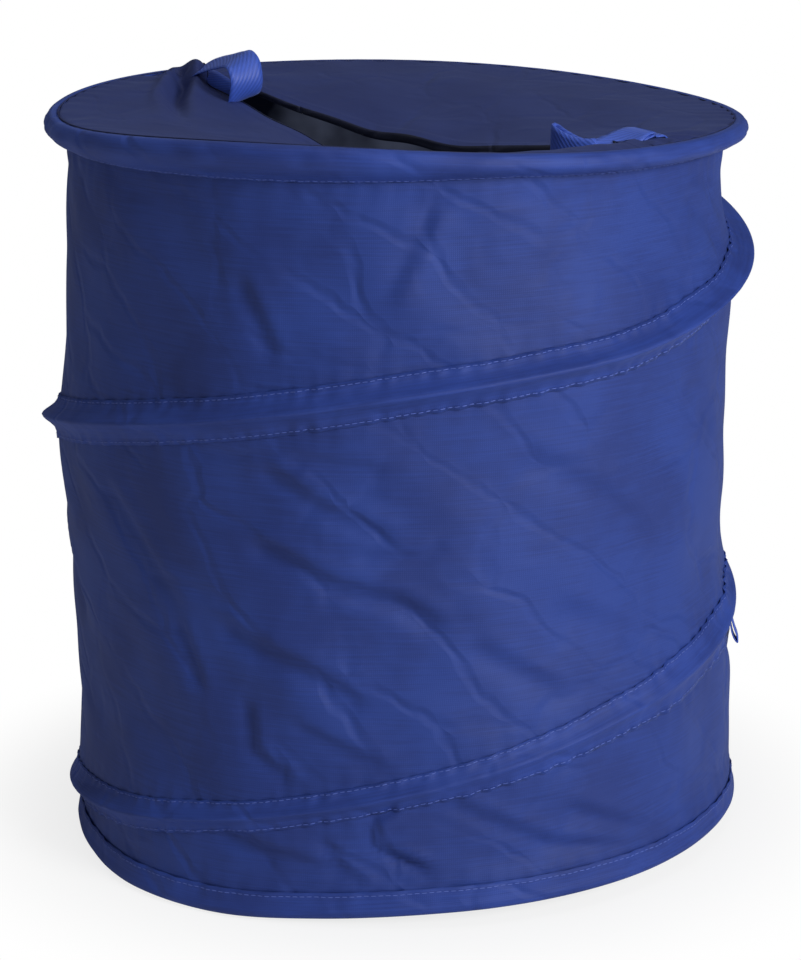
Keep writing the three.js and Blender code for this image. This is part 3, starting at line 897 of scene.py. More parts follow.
@dataclass
class SpiralLine:
    """The spiral wire's way up the drum: angles counted on over its turns, heights and reach in mm."""

    stance: Stance
    known_deg: tuple = (
        226, 262, 290, 314, 334, 353, 375, 399, 450, 500, 550, 591, 640, 678, 697, 713, 740, 758, 790, 832.5,
    )
    known_z: tuple = (
        28, 49, 70, 90, 107.5, 124, 139, 153, 187, 220, 252, 285, 321, 347, 355, 360.5, 378, 391, 416, 447,
    )
    reach_deg: tuple = (226, 240, 315, 399, 500, 591, 700, 759, 832.5)
    reach: tuple = (236.5, 238, 235.5, 233.5, 235, 236, 236, 238, 234.5)
    width_deg: tuple = (226, 320, 350, 375, 420, 600, 690, 725, 758, 832.5)
    width: tuple = (26, 22, 28, 33, 28, 30, 28, 27, 24, 24)
    foot_deg: float = 226.0
    head_deg: float = 832.5
    past_end_deg: float = 4.0
    below_share: float = 0.54
    above_share: float = 0.46
    hem_gap: float = 19.5
    skirt_gap: float = 1.5

    def height(self, degrees: Array) -> Array:
        """Height of the ridge over the wire."""
        return curve_through(self.known_deg, self.known_z, degrees)

    def nose(self, degrees: Array) -> Array:
        """Radius of the cloth over the wire."""
        return curve_through(self.reach_deg, self.reach, degrees)

    def edges(self, degrees: Array) -> tuple[Array, Array]:
        """Heights of the two stitch lines, kept between the hem and the rim's skirt."""
        width = curve_through(self.width_deg, self.width, degrees)
        ridge = self.height(degrees)
        low = np.maximum(ridge - width * self.below_share, self.stance.lift(degrees) + self.hem_gap)
        return low, np.minimum(ridge + width * self.above_share, self.stance.skirt(degrees) - self.skirt_gap)

    def turns(self, degrees: Array, past: float) -> list:
        """For each turn the angles counted on over the turns, and where the spiral or a bit past it is there.

        Args:
            degrees: Angles from any turn.
            past: Degrees past its ends that still count.

        Returns:
            Pairs of angles and truth values.
        """
        counts = [np.mod(degrees, 360) + 360 * turn for turn in range(TURNS)]
        return [(at, (at > self.foot_deg - past) & (at < self.head_deg + past)) for at in counts]

    def distance(self, degrees: Array, z: Array) -> Array:
        """Height over the nearest turn of the ridge, positive above it, at any angle."""
        found = np.full(np.broadcast(degrees, z).shape, FAR)
        for counted, there in self.turns(degrees, self.past_end_deg):
            over = z - self.height(counted)
            found = np.where(there & (np.abs(over) < np.abs(found)), over, found)
        return found


@dataclass
class Wall(Assembly):
    """The drum's one sheet of cloth, from the hem up into the rim, with its folds and puckers."""

    spiral: SpiralLine
    columns: int = 330
    rows: int = 146
    cloth: float = 0.5
    tuck: float = 11.0
    seam_pull: float = 2.2
    pull_reach: float = 26
    slack: float = 1.6
    slack_reach: tuple = (20, 70)
    drift: tuple = ((7, 1, 0.9), (13, 2.2, 0.7))
    seam_puckers: Puckers = Puckers(101, 0.85, 2.4)
    seam_reach: float = 9
    edge_puckers: Puckers = Puckers(88, 0.68, -2)
    edge_reach: float = 11
    calm_reach: float = 16
    hem_height: float = 18.0
    foot_height: float = 1.6
    foot_swell: float = 1.9
    foot_reach: float = 16
    cloth_radius: float = 224
    ripple_count: int = 16
    ripple_height: float = 0.42
    folded_share: float = 0.142
    spiral_share: float = 0.131
    folds: tuple = (
        Fold(((295.7, 294), (303, 276), (312.5, 259)), 3.4, 10), Fold(((299.5, 305), (311.2, 301)), 2.4, 7),
        Fold(((294, 246), (296.5, 243), (305.2, 226), (315.4, 216), (320.7, 203)), 4.2, 10),
        Fold(((310.4, 245), (318.8, 244), (320.5, 249)), 2.2, 7),
        Fold(((288, 190), (289.9, 186), (299.2, 171), (307.4, 153)), 3.8, 11),
        Fold(((277.8, 183), (280.7, 152)), 2.6, 8), Fold(((289.9, 135), (290.4, 112), (295.5, 99)), 2.8, 8),
        Fold(((299.2, 130), (310.1, 111)), 2.6, 8),
        Fold(((312.3, 76), (309.8, 71), (309.9, 56), (311.3, 51), (316.8, 42)), 3.4, 6),
        Fold(((302.6, 52), (305.2, 37), (308.5, 26)), 3.0, 7),
        Fold(((286, 56), (289.0, 53), (292, 47)), 3.4, 10), Fold(((293.5, 49), (302.5, 39)), 2.4, 7),
        Fold(((343.4, 69), (355, 48), (365.9, 29)), 3.0, 9),
        Fold(((323.0, 83), (338.7, 49), (355.1, 33), (365.9, 29)), 3.0, 8),
        Fold(((313.6, 49), (317.6, 40)), 2.2, 6), Fold(((291.0, 407), (295.4, 372)), 2.6, 9),
        Fold(((375.0, 445), (379.9, 432), (386.3, 411)), 2.6, 9),
        Fold(((315.6, 408), (321.7, 452)), -2.0, 10), Fold(((262, 260), (272, 222), (276, 205)), 2.4, 12),
        Fold(((338, 300), (352, 268), (360, 240)), 2.6, 15), Fold(((345, 200), (362, 170)), 2.2, 14),
        Fold(((330, 180), (341, 150)), 2.4, 12), Fold(((372, 330), (381, 296)), 2.2, 12),
        Fold(((30, 150), (42, 112), (47, 92)), 3.0, 12), Fold(((70, 250), (84, 218)), 3.0, 13),
        Fold(((104, 360), (118, 322)), 2.8, 12), Fold(((128, 200), (141, 160), (146, 140)), 3.4, 13),
        Fold(((160, 340), (172, 300)), 2.8, 12), Fold(((188, 120), (201, 82)), 3.2, 12),
        Fold(((212, 392), (222, 352)), 2.6, 12), Fold(((232, 210), (243, 172)), 2.6, 12),
        Fold(((84, 70), (98, 40)), 2.8, 10), Fold(((150, 60), (160, 34)), 2.6, 9),
    )

    def seam_distance(self, degrees: Array, z: Array) -> tuple[Array, Array]:
        """Distances to the nearest stitch line of the spiral's casing and to the nearest of hem and rim."""
        nearest = np.full(z.shape, FAR)
        for counted, there in self.spiral.turns(degrees, 0):
            low, high = self.spiral.edges(counted)
            gap = np.minimum(np.abs(z - low), np.abs(z - high))
            nearest = np.where(there, np.minimum(nearest, gap), nearest)
        ends = np.minimum(z - self.stance.lift(degrees) - self.hem_height, self.stance.skirt(degrees) - z)
        return nearest, np.maximum(ends, 0)

    def radius(self, degrees: Array, z: Array) -> Array:
        """Radius of the finished cloth.

        The smooth drum, drawn out beside the spiral's casing and in halfway between seams, dented by the
        folds, with waves that run across each seam and fade away from it, and low slanting ripples.

        Args:
            degrees: Angles of the points.
            z: Heights of the points.

        Returns:
            Radii in mm.
        """
        rng = np.random.default_rng(SEED)
        casing, ends = self.seam_distance(degrees, z)
        calm = smooth(0, self.calm_reach, ends)
        over = self.spiral.distance(degrees, z)
        slack = self.slack * smooth(*self.slack_reach, np.abs(over))
        pull = self.seam_pull * hump(over, 0, self.pull_reach) - slack
        shape = self.stance.wall_radius(z) + calm * pull
        # The foot swells out to meet the hem almost flush
        over_hem = np.maximum(z - self.stance.lift(degrees) - self.hem_height, 0)
        shape = shape + self.foot_swell * np.exp(-over_hem / self.foot_reach)
        for fold in self.folds:
            shape = shape + calm * fold.press(degrees, z, self.cloth_radius)
        beat = np.radians(degrees)
        drift = uneven(beat, self.drift)
        waves = self.seam_puckers.at(beat, drift) * (0.65 + 0.35 * np.sin(11 * beat))
        shape = shape + waves * np.exp(-casing / self.seam_reach)
        fade = np.exp(-ends / self.edge_reach) * smooth(-1, 3, ends)
        shape = shape + self.edge_puckers.at(beat, drift) * fade
        for count in range(self.ripple_count):
            slant = rng.uniform(-0.9, 1.6)
            waves_round = rng.integers(5, 20)
            phase, size = rng.uniform(0, math.tau), rng.uniform(0.25, 1.0)
            swing = waves_round * beat + slant * waves_round * z / self.cloth_radius + phase
            rough = 0.8 * np.sin(2 * beat + count) + 0.6 * np.sin(z / 60 + 2 * count)
            shape = shape + calm * self.ripple_height * size * np.sin(swing + rough)
        return shape

    def build(self) -> Piece:
        """The sheet as a grid of angle and height, its foot on the hem and its head inside the rim.

        Returns:
            The wall.
        """
        degrees, share = np.meshgrid(round_drum(self.columns), np.linspace(0, 1, self.rows), indexing="ij")
        foot = self.stance.lift(degrees) + self.foot_height
        head = self.stance.skirt(degrees) + self.tuck
        z = foot + (head - foot) * share
        points = self.stance.sideways(ring(self.radius(degrees, z), degrees, z))
        flat = np.stack([np.radians(degrees) * self.cloth_radius, z], -1)
        wall = mesh_piece("drum_wall", points, grid_faces(self.columns, self.rows, Winding.ROWS), flat)
        bands = [f"wall_band_{i}" for i in range(1, 8)] + [f"wall_band_8_panel_{i}" for i in range(1, 5)]
        dress(wall, self.finishes.wall, "base", "cloth", *bands)
        wall.data.materials.append(self.finishes.inside)
        thicken(wall, self.cloth, 1)
        flatten(wall)
        return wall


@dataclass
class Spiral(Assembly):
    """The spiral wire, its sewn casing that stands off the wall like a tent, its caps and its stitches."""

    line: SpiralLine
    wall: Wall
    steps: int = 1250
    wire_steps: int = 520
    wire_radius: float = 1.5
    wire_depth: float = 4.1
    wire_ends_deg: tuple = (4.5, 7.5)
    cloth_radius: float = 230
    casing_width: float = 30
    casing_lift: float = 0.35
    drift: tuple = ((9, 0, 1), (17, 1, 0.7))
    edge_puckers: Puckers = Puckers(112, 0.8, 2.2)
    flank_puckers: Puckers = Puckers(61, 1.12, 1.5)
    flank_sag: float = 2.6
    stitch_share: float = 0.45
    cap_sides: int = 20
    cap_profile: tuple = (
        (-1.9, 0.01), (-1.8, 0.8), (-1.4, 1.6), (-0.6, 2.1), (0.6, 2.25), (7.8, 2.25), (8.2, 2.0),
        (8.2, 1.56), (0.2, 1.56), (0.0, 0.01),
    )
    tent: tuple = (
        (0.0, 0.0), (0.13, 0.1), (0.25, 0.3), (0.35, 0.6), (0.415, 0.83), (0.46, 0.95), (0.5, 1.0),
        (0.54, 0.95), (0.585, 0.83), (0.65, 0.6), (0.75, 0.3), (0.87, 0.1), (1.0, 0.0),
    )

    def casing_grid(self) -> tuple[Array, Array, Array]:
        """The casing's outer face: a tent profile between the stitch lines, carried along the spiral.

        Returns:
            The points, the angles along the strip and the shares across it.
        """
        along = np.linspace(self.line.foot_deg, self.line.head_deg, self.steps)
        across, rise = np.array(self.tent).T
        degrees = along[:, None] + np.zeros(len(across))
        low, high = (edge[:, None] for edge in self.line.edges(along))
        ridge = self.line.height(along)[:, None]
        below = low + (ridge - low) * across * 2
        above = ridge + (high - ridge) * (across * 2 - 1)
        z = np.where(across <= 0.5, below, above)
        foot = self.wall.radius(degrees, z) + STRIP_CLOTH + self.casing_lift
        nose = self.line.nose(along)[:, None]
        beat = np.radians(along)[:, None]
        drift = uneven(beat, self.drift)
        flank = rise * (1 - rise)
        waves = self.edge_puckers.at(beat, drift) * np.exp(-np.minimum(across, 1 - across) * 9)
        waves = waves + self.flank_puckers.at(beat, drift + 2 * across) * flank
        # Along each slack flank the cloth dips between wire and stitches, more in some places than in others
        sag = self.flank_sag * flank * (1 + 0.5 * np.sin(5 * beat + 4 * across))
        radius = foot + (nose - foot) * rise + waves - sag
        return self.stance.sideways(ring(radius, degrees, z)), along, across

    def wire_line(self, degrees: Array) -> Array:
        """The wire's middle line, just inside the casing's ridge."""
        radius = self.line.nose(degrees) - self.wire_depth
        return self.stance.sideways(ring(radius, degrees, self.line.height(degrees)))

    def build(self) -> list:
        """Casing, two rows of stitches, wire and caps.

        Returns:
            The pieces.
        """
        points, along, across = self.casing_grid()
        run = np.radians(along) * self.cloth_radius
        casing = casing_strip("spiral_strip", points, run, across * self.casing_width, Winding.OPEN)
        dress(casing, self.finishes.casing, "base", "casing", "spiral_casing")
        pieces = [casing]
        outward = unit(points * LEVEL)
        for name, column in (("lower", 1), ("upper", -2)):
            outer = points[:, 0 if column == 1 else -1]
            edge = points[:, column] + self.stitch_share * (outer - points[:, column])
            lifted = edge + THREAD_LIFT * outward[:, column]
            seam = Stitching().row(f"spiral_{name}_stitches", lifted, outward[:, column])
            dress(seam, self.finishes.thread, "base", "casing")
            flatten(seam)
            pieces.append(seam)
        flatten(casing)

        after, before = self.wire_ends_deg
        degrees = np.linspace(self.line.foot_deg + after, self.line.head_deg - before, self.wire_steps)
        line = self.wire_line(degrees)
        wire = tube("spiral_spring", line, self.wire_radius, 12, False)
        dress(wire, self.finishes.wire, "base", "spring_steel", "spiral_wire")
        flatten(wire)
        pieces.append(wire)
        for name, node, end, inward in (
            ("spiral_foot_cap", "spiral_cap_lower", line[0], line[1] - line[0]),
            ("spiral_head_cap", "spiral_cap_upper", line[-1], line[-2] - line[-1]),
        ):
            pieces.append(self.cap(name, node, end, unit(inward)))
        return pieces

    def cap(self, name: str, node: str, end: Array, inward: Array) -> Piece:
        """A dome ended sleeve over the wire's end: a profile of lengths and radii turned round the wire.

        Args:
            name: The cap's name.
            node: The CAD node that it stands for.
            end: Where the wire ends.
            inward: Direction along the wire, away from its end.

        Returns:
            The cap.
        """
        profile = np.array(self.cap_profile)
        side = unit(np.cross(inward, UPRIGHT))
        up = np.cross(side, inward)
        around = circle(self.cap_sides, side, up)[:, None]
        points = end + profile[None, :, :1] * inward + profile[None, :, 1:] * around
        faces = grid_faces(self.cap_sides, len(profile), Winding.ROWS)
        first = (np.arange(self.cap_sides) * len(profile)).tolist()
        last = [i + len(profile) - 1 for i in first]
        cap = mesh_piece(name, points, faces, None, [first[::-1], last])
        face_outwards(cap)
        dress(cap, self.finishes.cap, "base", "cap_plastic", node)
        flatten(cap)
        return cap


@dataclass
class Hoop(Assembly):
    """A closed spring hoop with its ends in a crimped sleeve."""

    name: str
    body: str
    radius: float
    height_at: Callable[[Array], Array]
    sleeve_deg: float = 135.0
    wire_radius: float = 1.5
    wire_steps: int = 320
    end_gap: float = 1.0
    sleeve_length: float = 24.0
    sleeve_radii: tuple = (2.2, 1.56)
    sleeve_steps: int = 15
    sleeve_sides: int = 16
    pinch: float = 0.09

    def line(self, degrees: Array) -> Array:
        """The hoop's middle line: a ring at its height, drawn to one side with the drum."""
        return self.stance.sideways(ring(self.radius, degrees, self.height_at(degrees)))

    def build(self) -> list:
        """The wire as a tube along its warped ring, open by a millimetre inside its sleeve.

        Returns:
            The wire and the sleeve.
        """
        gap = math.degrees(self.end_gap / 2 / self.radius)
        degrees = np.linspace(self.sleeve_deg + gap, self.sleeve_deg + 360 - gap, self.wire_steps)
        name = f"{self.name}_hoop"
        wire = tube(f"{name}_spring", self.line(degrees), self.wire_radius, 12, False)
        half = math.degrees(self.sleeve_length / 2 / self.radius)
        middle = self.line(np.linspace(self.sleeve_deg - half, self.sleeve_deg + half, self.sleeve_steps))
        _, outward, upright = frames_along(middle, False)
        around = circle(self.sleeve_sides, outward[:, None], upright[:, None])
        # Two crimps narrow the sleeve near its ends
        share = np.linspace(-1, 1, len(middle))
        narrowed = 1 - self.pinch * hump(np.abs(share), 0.6, 0.16)
        outside = middle[:, None] + (self.sleeve_radii[0] * narrowed)[:, None, None] * around
        inside = middle[:, None] + self.sleeve_radii[1] * around
        points = np.concatenate([outside, inside[::-1]])
        faces = grid_faces(len(points), self.sleeve_sides, Winding.BOTH)
        sleeve = mesh_piece(f"{name}_sleeve", points, faces)
        face_outwards(sleeve)
        dress(wire, self.finishes.wire, self.body, "spring_steel", f"{name}_wire")
        dress(sleeve, self.finishes.crimp, self.body, "crimp_steel", f"{name}_ferrule")
        return [wire, sleeve]


@dataclass
class Rim(Assembly):
    """The strip sewn over the top hoop, with its nose, its stitched skirt and the seam to the lid."""

    steps: int = 900
    nose_radius: float = 235.5
    cloth_radius: float = 232
    over_wall: float = 1.4
    drift: tuple = ((6, 0, 1), (15, 2, 0.8))
    low_puckers: Puckers = Puckers(96, 0.7, 2)
    high_puckers: Puckers = Puckers(83, 0.15, -2)
    bulges: Puckers = Puckers(31, 0.5, 2)
    width: float = 34
    profile: tuple = (
        (-15.4, -1.0), (-14.6, -0.93), (-12.4, -0.86), (-9.6, -0.76), (-6.9, -0.65), (-4.6, -0.53),
        (-2.7, -0.39), (-1.1, -0.22), (-0.25, -0.09), (0.0, 0.03), (-0.2, 0.14), (-0.9, 0.29),
        (-2.1, 0.41), (-3.7, 0.48), (-5.6, 0.505), (-7.4, 0.5), (-8.6, 0.465), (-9.7, 0.36),
    )
    depth: float = 15.0

    def grid(self) -> tuple[Array, Array]:
        """The strip's outer face: the profile from the skirt over the nose to the lid seam, round the drum.

        Below the hoop the profile's heights stretch to reach the skirt's stitch line. Puckers run across the
        strip, strongest at its two seams.

        Returns:
            The points and the angles.
        """
        degrees = round_drum(self.steps)
        inset, height = np.array(self.profile).T
        nose = self.stance.nose_height(degrees)[:, None]
        below = nose - self.stance.skirt(degrees)[:, None]
        z = nose + height * np.where(height < 0, below, self.depth)
        foot = self.stance.wall_radius(nose) + self.over_wall
        reach = self.nose_radius - foot
        radius = self.nose_radius + np.where(height < 0, inset * reach / -inset[0], inset)
        beat = np.radians(degrees)[:, None]
        drift = uneven(beat, self.drift)
        low_seam, high_seam = np.exp(-(height + 1) * 6), np.exp(-(inset + 9) ** 2 / 8) * (height > 0)
        waves = self.low_puckers.at(beat, drift) * low_seam + self.high_puckers.at(beat, drift) * high_seam
        bulge = self.bulges.at(beat, drift) * smooth(-0.9, -0.2, height) * (height < 0.3)
        points = ring(radius + waves + bulge, degrees[:, None], z + 0.5 * waves)
        return self.stance.sideways(points), degrees

    def build(self) -> list:
        """The strip and its row of stitches.

        Returns:
            The pieces.
        """
        points, degrees = self.grid()
        run, across = np.radians(degrees) * self.cloth_radius, np.linspace(0, self.width, points.shape[1])
        strip = casing_strip("rim_strip", points, run, across, Winding.ROWS)
        dress(strip, self.finishes.casing, "top", "casing", "rim_casing")
        seam = seam_round("rim_skirt_stitches", "top", points[:, 1], self.finishes.thread)
        return [strip, seam]


@dataclass
class Hem(Assembly):
    """The strip round the bottom hoop and the floor panel sewn into it."""

    steps: int = 900
    height: float = 18.0
    cloth_radius: float = 232
    width: float = 24
    drift: tuple = ((5, 1, 1), (14, 0, 0.8))
    top_puckers: Puckers = Puckers(92, 0.45, 2)
    bulges: Puckers = Puckers(37, 0.4, 1)
    panel_radius: float = 227.4
    panel_spokes: int = 180
    panel_rings: int = 44
    panel_floor: float = 0.65
    profile: tuple = (
        (-6.2, 0.1), (-4.6, 0.0), (-2.7, 0.5), (-1.2, 1.6), (-0.3, 3.1), (0.0, 4.8), (-0.3, 6.6), (-1.1, 8.4),
        (-1.5, 10.4), (-2.0, 12.8), (-2.4, 15.4), (-2.7, 18.0),
    )
    nose_radius: float = 232.6

    def build(self) -> list:
        """The strip as its profile carried round the floor's edge, its stitches and the panel.

        Returns:
            The pieces.
        """
        degrees = round_drum(self.steps)
        inset, height = np.array(self.profile).T
        beat = np.radians(degrees)[:, None]
        drift = uneven(beat, self.drift)
        top_seam = np.exp((height - self.height) / 4)
        waves = self.top_puckers.at(beat, drift) * top_seam
        waves = waves + self.bulges.at(beat, drift) * (height / self.height)
        z = height + self.stance.lift(degrees)[:, None]
        points = self.stance.sideways(ring(self.nose_radius + inset + waves, degrees[:, None], z))
        run, across = np.radians(degrees) * self.cloth_radius, np.linspace(0, self.width, points.shape[1])
        strip = casing_strip("hem_strip", points, run, across, Winding.ROWS)
        dress(strip, self.finishes.casing, "base", "casing", "hem_casing")
        seam = seam_round("hem_stitches", "base", points[:, -2], self.finishes.thread)
        return [strip, seam, self.panel()]

    def panel(self) -> Piece:
        """The floor panel: a disc of rings whose height fades from the hoop's lift to a low swell inside.

        Returns:
            The panel.
        """
        spokes, rings = self.panel_spokes, self.panel_rings
        round_it = np.linspace(0, 360, spokes, endpoint=False)
        degrees, share = np.meshgrid(round_it, np.linspace(0.004, 1, rings), indexing="ij")
        swell = 0.5 + 0.35 * np.sin(5 * np.radians(degrees) + 9 * share) * np.sin(math.pi * share)
        z = self.panel_floor + self.stance.lift(degrees) * share**2 + swell
        points = self.stance.sideways(ring(share * self.panel_radius, degrees, z))
        middle = points[:, 0].mean(0)
        points = np.concatenate([points.reshape(-1, 3), middle[None]])
        flat = points[:, :2].copy()
        centre = len(points) - 1
        first = np.arange(spokes) * rings
        fan = np.stack([np.full(spokes, centre), first, np.roll(first, -1)], 1)
        panel = mesh_piece("floor_cloth", points, grid_faces(spokes, rings, Winding.ROWS), flat, fan.tolist())
        thicken(panel, STRIP_CLOTH)
        if panel.data.polygons[0].normal.z < 0:
            panel.data.flip_normals()
        dress(panel, self.finishes.inside, "base", "cloth", "floor_panel")
        return panel


class FlapSide(Enum):
    """The two halves of the lid."""

    REAR = 1
    FRONT = -1


@dataclass
class LoopPlace:
    """Where a pull loop is sewn to the lid, in mm and degrees."""

    name: str
    x: float
    y: float
    z: float
    heading_deg: float

    def near(self, x: Array, y: Array, reach: float) -> Array:
        """One at the place, fading round it as a bell curve."""
        return hump(x, self.x, reach) * hump(y, self.y, reach)

    def ways(self) -> tuple[Array, Array]:
        """Directions along the loop and level across it."""
        heading = math.radians(self.heading_deg)
        along = np.array([math.cos(heading), math.sin(heading), 0.0])
        return along, np.array([-along[1], along[0], 0.0])


LEFT_PLACE = LoopPlace("left", -200.398, 4.0, 488.04, -13.0)
RIGHT_PLACE = LoopPlace("right", 199.398, 22.0, 487.366, -105.0)


@dataclass
class Lid(Assembly):
    """The lid's two cloth flaps over the top hoop, with a lens shaped slot between their free edges."""

    radius: float = 226.6
    hoop_height: float = 485.2
    root_depth: float = 2.9
    root_reach: float = 30
    half_slot: float = 200.4
    cloth: float = 0.6
    fold_start: float = 104.0
    fold_end: float = 45.0
    bend_half: float = 90.0
    bend_reach: float = 196.0
    along: int = 190
    across: int = 78
    edge_x: tuple = (
        -226, -214, -200.4, -187, -175, -150, -127, -90, -60, -27, 10, 50, 95, 141, 175, 190, 200.4, 226,
    )
    rear_edge: tuple = (0.3, 0.3, 0.3, 1.5, 3, 4.5, 5, 5, 5, 5, 5, 5, 5, 5.5, 7, 5, 0.3, 0.3)
    rear_sag: tuple = (0, 0, 0, 0.2, 0.5, 2.5, 5.2, 11.3, 15.7, 18.6, 19.8, 20.6, 17.6, 11.5, 5, 2.5, 0, 0)
    rear_fall: tuple = (130.0, 1.35)
    front_power: float = 1.05
    front_edge: tuple = (0.3, -3, -9, -4, 6, 11, 14, 25, 31, 37, 40, 39, 32, 18, 7, 3.5, 0.3, 0.3)
    front_sag: tuple = (0, 0, 0, 1, 3, 7, 10.5, 15.5, 20.5, 26, 31, 31, 27, 20, 14, 6, 0, 0)
    corner_roll: Bulge = Bulge(9.0, -198, -1, 15, 14, 2)
    right_dip: Bulge = Bulge(-9.0, 172, -6, 24, 15)
    fold_depth: float = 7.5
    fold_swell: float = 4.0
    fold_width: float = 6
    tension: tuple = ((-205, -6), (-172, -34), (-147.7, -58.2), (-94.1, -100.7), (-40, -142))
    # The cord of painted shade in the groove between rim and lid
    seam_radius: float = 0.4
    seam_inset: float = 0.1
    seam_lift: float = 0.8
    seam_front_deg: float = 262
    seam_front_reach: float = 42
    hem_width: float = 9
    hem_step: float = 0.55
    hem_ridge: float = 0.3
    groove: float = 0.7
    grip: float = 0.6
    grip_reach: float = 17
    # The near-black band of painted shade under each flap's free edge, and how far it hangs
    shade_band_short: float = 4
    shade_band_width: float = 10
    shade_band_cloth: float = 0.5
    shade_band_curl: tuple = (0.6, 0.9, 0.9, 0.6, 0.1)
    painted_edge_shade_drop: tuple = (2.5, 2.5, 4, 4, 3, 3.5, 4, 4.5, 5, 5.5, 6, 6.5, 7, 7.5, 7, 5, 3, 2.5)

    def surface(self, x: Array, y: Array) -> Array:
        """Height of the taut lid: the hoop's waves fading inwards, held at the loops' roots."""
        reach, degrees = np.hypot(x, y) / self.radius, np.degrees(np.arctan2(y, x))
        warped = self.hoop_height + self.stance.rim_rise(degrees, np.minimum(reach, 1.0))
        for place in (LEFT_PLACE, RIGHT_PLACE):
            warped = warped + place.near(x, y, self.root_reach) * (place.z - self.root_depth - warped)
        return warped

    def corner(self, x: Array, y: Array) -> Array:
        """The front flap's rolled corner at the left loop, its pulled fold, and the dip at the right loop.

        The roll is a hump with a flat top. The fold dips along a line of points and swells beside it, both as
        bell curves of the distance to the line.

        Args:
            x: Places of the cloth's points.
            y: The same.

        Returns:
            Moves upwards in mm.
        """
        nearest, _ = beside_line(x, y, np.array(self.tension, float))
        width = self.fold_width
        fold = self.fold_swell * hump(nearest, 2 * width, width) - self.fold_depth * hump(nearest, 0, width)
        return self.corner_roll.at(x, y) + self.right_dip.at(x, y) + fold * smooth(-60, -190, x)

    def binding(self, name: str, side: FlapSide, edge: Array) -> Piece:
        """Painted shade under a flap's free edge: a narrow near-black band that hangs from the edge.

        Args:
            name: The band's name.
            side: Rear or front half.
            edge: The flap's free edge, settled, in mm.

        Returns:
            The band.
        """
        edge = edge[np.abs(edge[:, 0]) < self.half_slot - self.shade_band_short]
        drop = curve_through(self.edge_x, self.painted_edge_shade_drop, edge[:, 0])
        across = np.linspace(0, 1, len(self.shade_band_curl))
        curl = np.array(self.shade_band_curl)
        points = np.repeat(edge[:, None], len(across), 1)
        points[..., 1] -= side.value * (curl + 0.2)
        points[..., 2] += 0.5 - drop[:, None] * across
        wide = np.tile(across * self.shade_band_width, len(edge))
        flat = np.stack([np.repeat(edge[:, 0], len(across)), wide], -1)
        shade_band = mesh_piece(name, points, grid_faces(len(edge), len(across), Winding.OPEN), flat)
        shade_band.data.materials.append(self.finishes.binding)
        thicken(shade_band, self.shade_band_cloth)
        return shade_band

    def seam(self) -> Piece:
        """A thin dark cord of painted shade in the groove between rim and lid, standing higher at the front.
        """
        degrees = np.linspace(0, 360, 480, endpoint=False)
        lifted = self.seam_lift * hump(degrees, self.seam_front_deg, self.seam_front_reach)
        height = self.hoop_height + self.stance.rim_rise(degrees) - self.seam_inset + lifted
        line = self.stance.sideways(ring(self.radius - self.seam_inset, degrees, height))
        cord = tube("lid_groove_shade_cord", line, self.seam_radius, 8, True)
        dress(cord, self.finishes.painted_groove_shade, "top", "casing")
        return cord

    def flap(self, side: FlapSide) -> list:
        """One flap: lines from its free edge to the rim, dropping towards the edge as its sag asks.

        The drop falls off with a power of the distance from the free edge. A doubled hem stands proud along
        the free edge, and pulls run from the loops and the rim.

        Args:
            side: Rear or front half.

        Returns:
            The flap's cloth and its bands of painted shade.
        """
        sign, rear = side.value, side is FlapSide.REAR
        edge, sag = (self.rear_edge, self.rear_sag) if rear else (self.front_edge, self.front_sag)
        u = np.sin(np.linspace(-1, 1, self.along) * math.pi / 2)
        x = u * (self.radius - 0.6)
        free = sign * curve_through(self.edge_x, edge, x)
        rim = sign * np.maximum(np.sqrt(np.maximum(self.radius**2 - x**2, 0)), np.abs(free) + 0.05)
        depth = np.abs(rim - free)
        share = np.linspace(0, 1, self.across) ** 1.25
        px = np.repeat(x[:, None], self.across, 1)
        py = free[:, None] + (rim - free)[:, None] * share
        off = np.abs(py - free[:, None])
        fall, power = self.rear_fall if rear else (depth[:, None], self.front_power)
        hang = curve_through(self.edge_x, sag, x)[:, None] * np.maximum(0, 1 - off / fall) ** power
        reach = np.hypot(px, py) / self.radius
        inset = (1 - reach) * self.radius
        step = 1 - smooth(self.hem_width - 0.5, self.hem_width + 0.5, off)
        hem = self.hem_step * step + self.hem_ridge * hump(off, self.hem_width, 1.5)
        beat = np.arctan2(py, px)
        # Pulls fan out from the rim, and broad low ripples run along the flap
        pulls = 0.55 * np.sin(58 * beat + 3 * np.sin(7 * beat)) * np.exp(-(1 - reach) * 14)
        ripples = 0.9 * np.sin(px / 17 + 0.02 * py + 1.5 * np.sin(px / 55)) * np.exp(-off / 40)
        slanted = np.sin((px + 1.6 * py) / 23 + 1) * smooth(0, 40, off) * (1 - smooth(0.8, 1, reach))
        star = np.zeros_like(px)
        for place in (LEFT_PLACE, RIGHT_PLACE):
            dx, dy = px - place.x, py - place.y
            far = np.hypot(dx, dy)
            star = star + 1.6 * np.sin(9 * np.arctan2(dy, dx) + 0.6) * np.exp(-far / 42) * smooth(10, 26, far)
        fade = smooth(0, 4, inset)
        z = self.surface(px, py) - hang + (hem + ripples + 0.8 * slanted + star) * fade + pulls
        if not rear:
            z = z - self.groove * hump(inset, 0, 2.0) * smooth(-225, -120, px) + fade * self.corner(px, py)
        points = np.stack([px, py, z], -1)
        hold = smooth(0.72, 1, reach)[..., None]
        for place in (LEFT_PLACE, RIGHT_PLACE):
            hold = hold * (1 - self.grip * place.near(px, py, self.grip_reach)[..., None])
        points = points + (self.stance.sideways(points) - points) * hold
        cuts = [int(np.argmin(np.abs(x - place))) for place in (-self.bend_half, self.bend_half)]
        spans = ((0, cuts[0] + 1), (cuts[0], cuts[1] + 1), (cuts[1], self.along))
        pieces = []
        for (first, last), end in zip(spans, (-1, 0, 1)):
            part = slice(first, last)
            flat = np.stack([px[part], py[part]], -1)
            pieces += self.part(side, end, points[part], flat, depth[part])
        return pieces

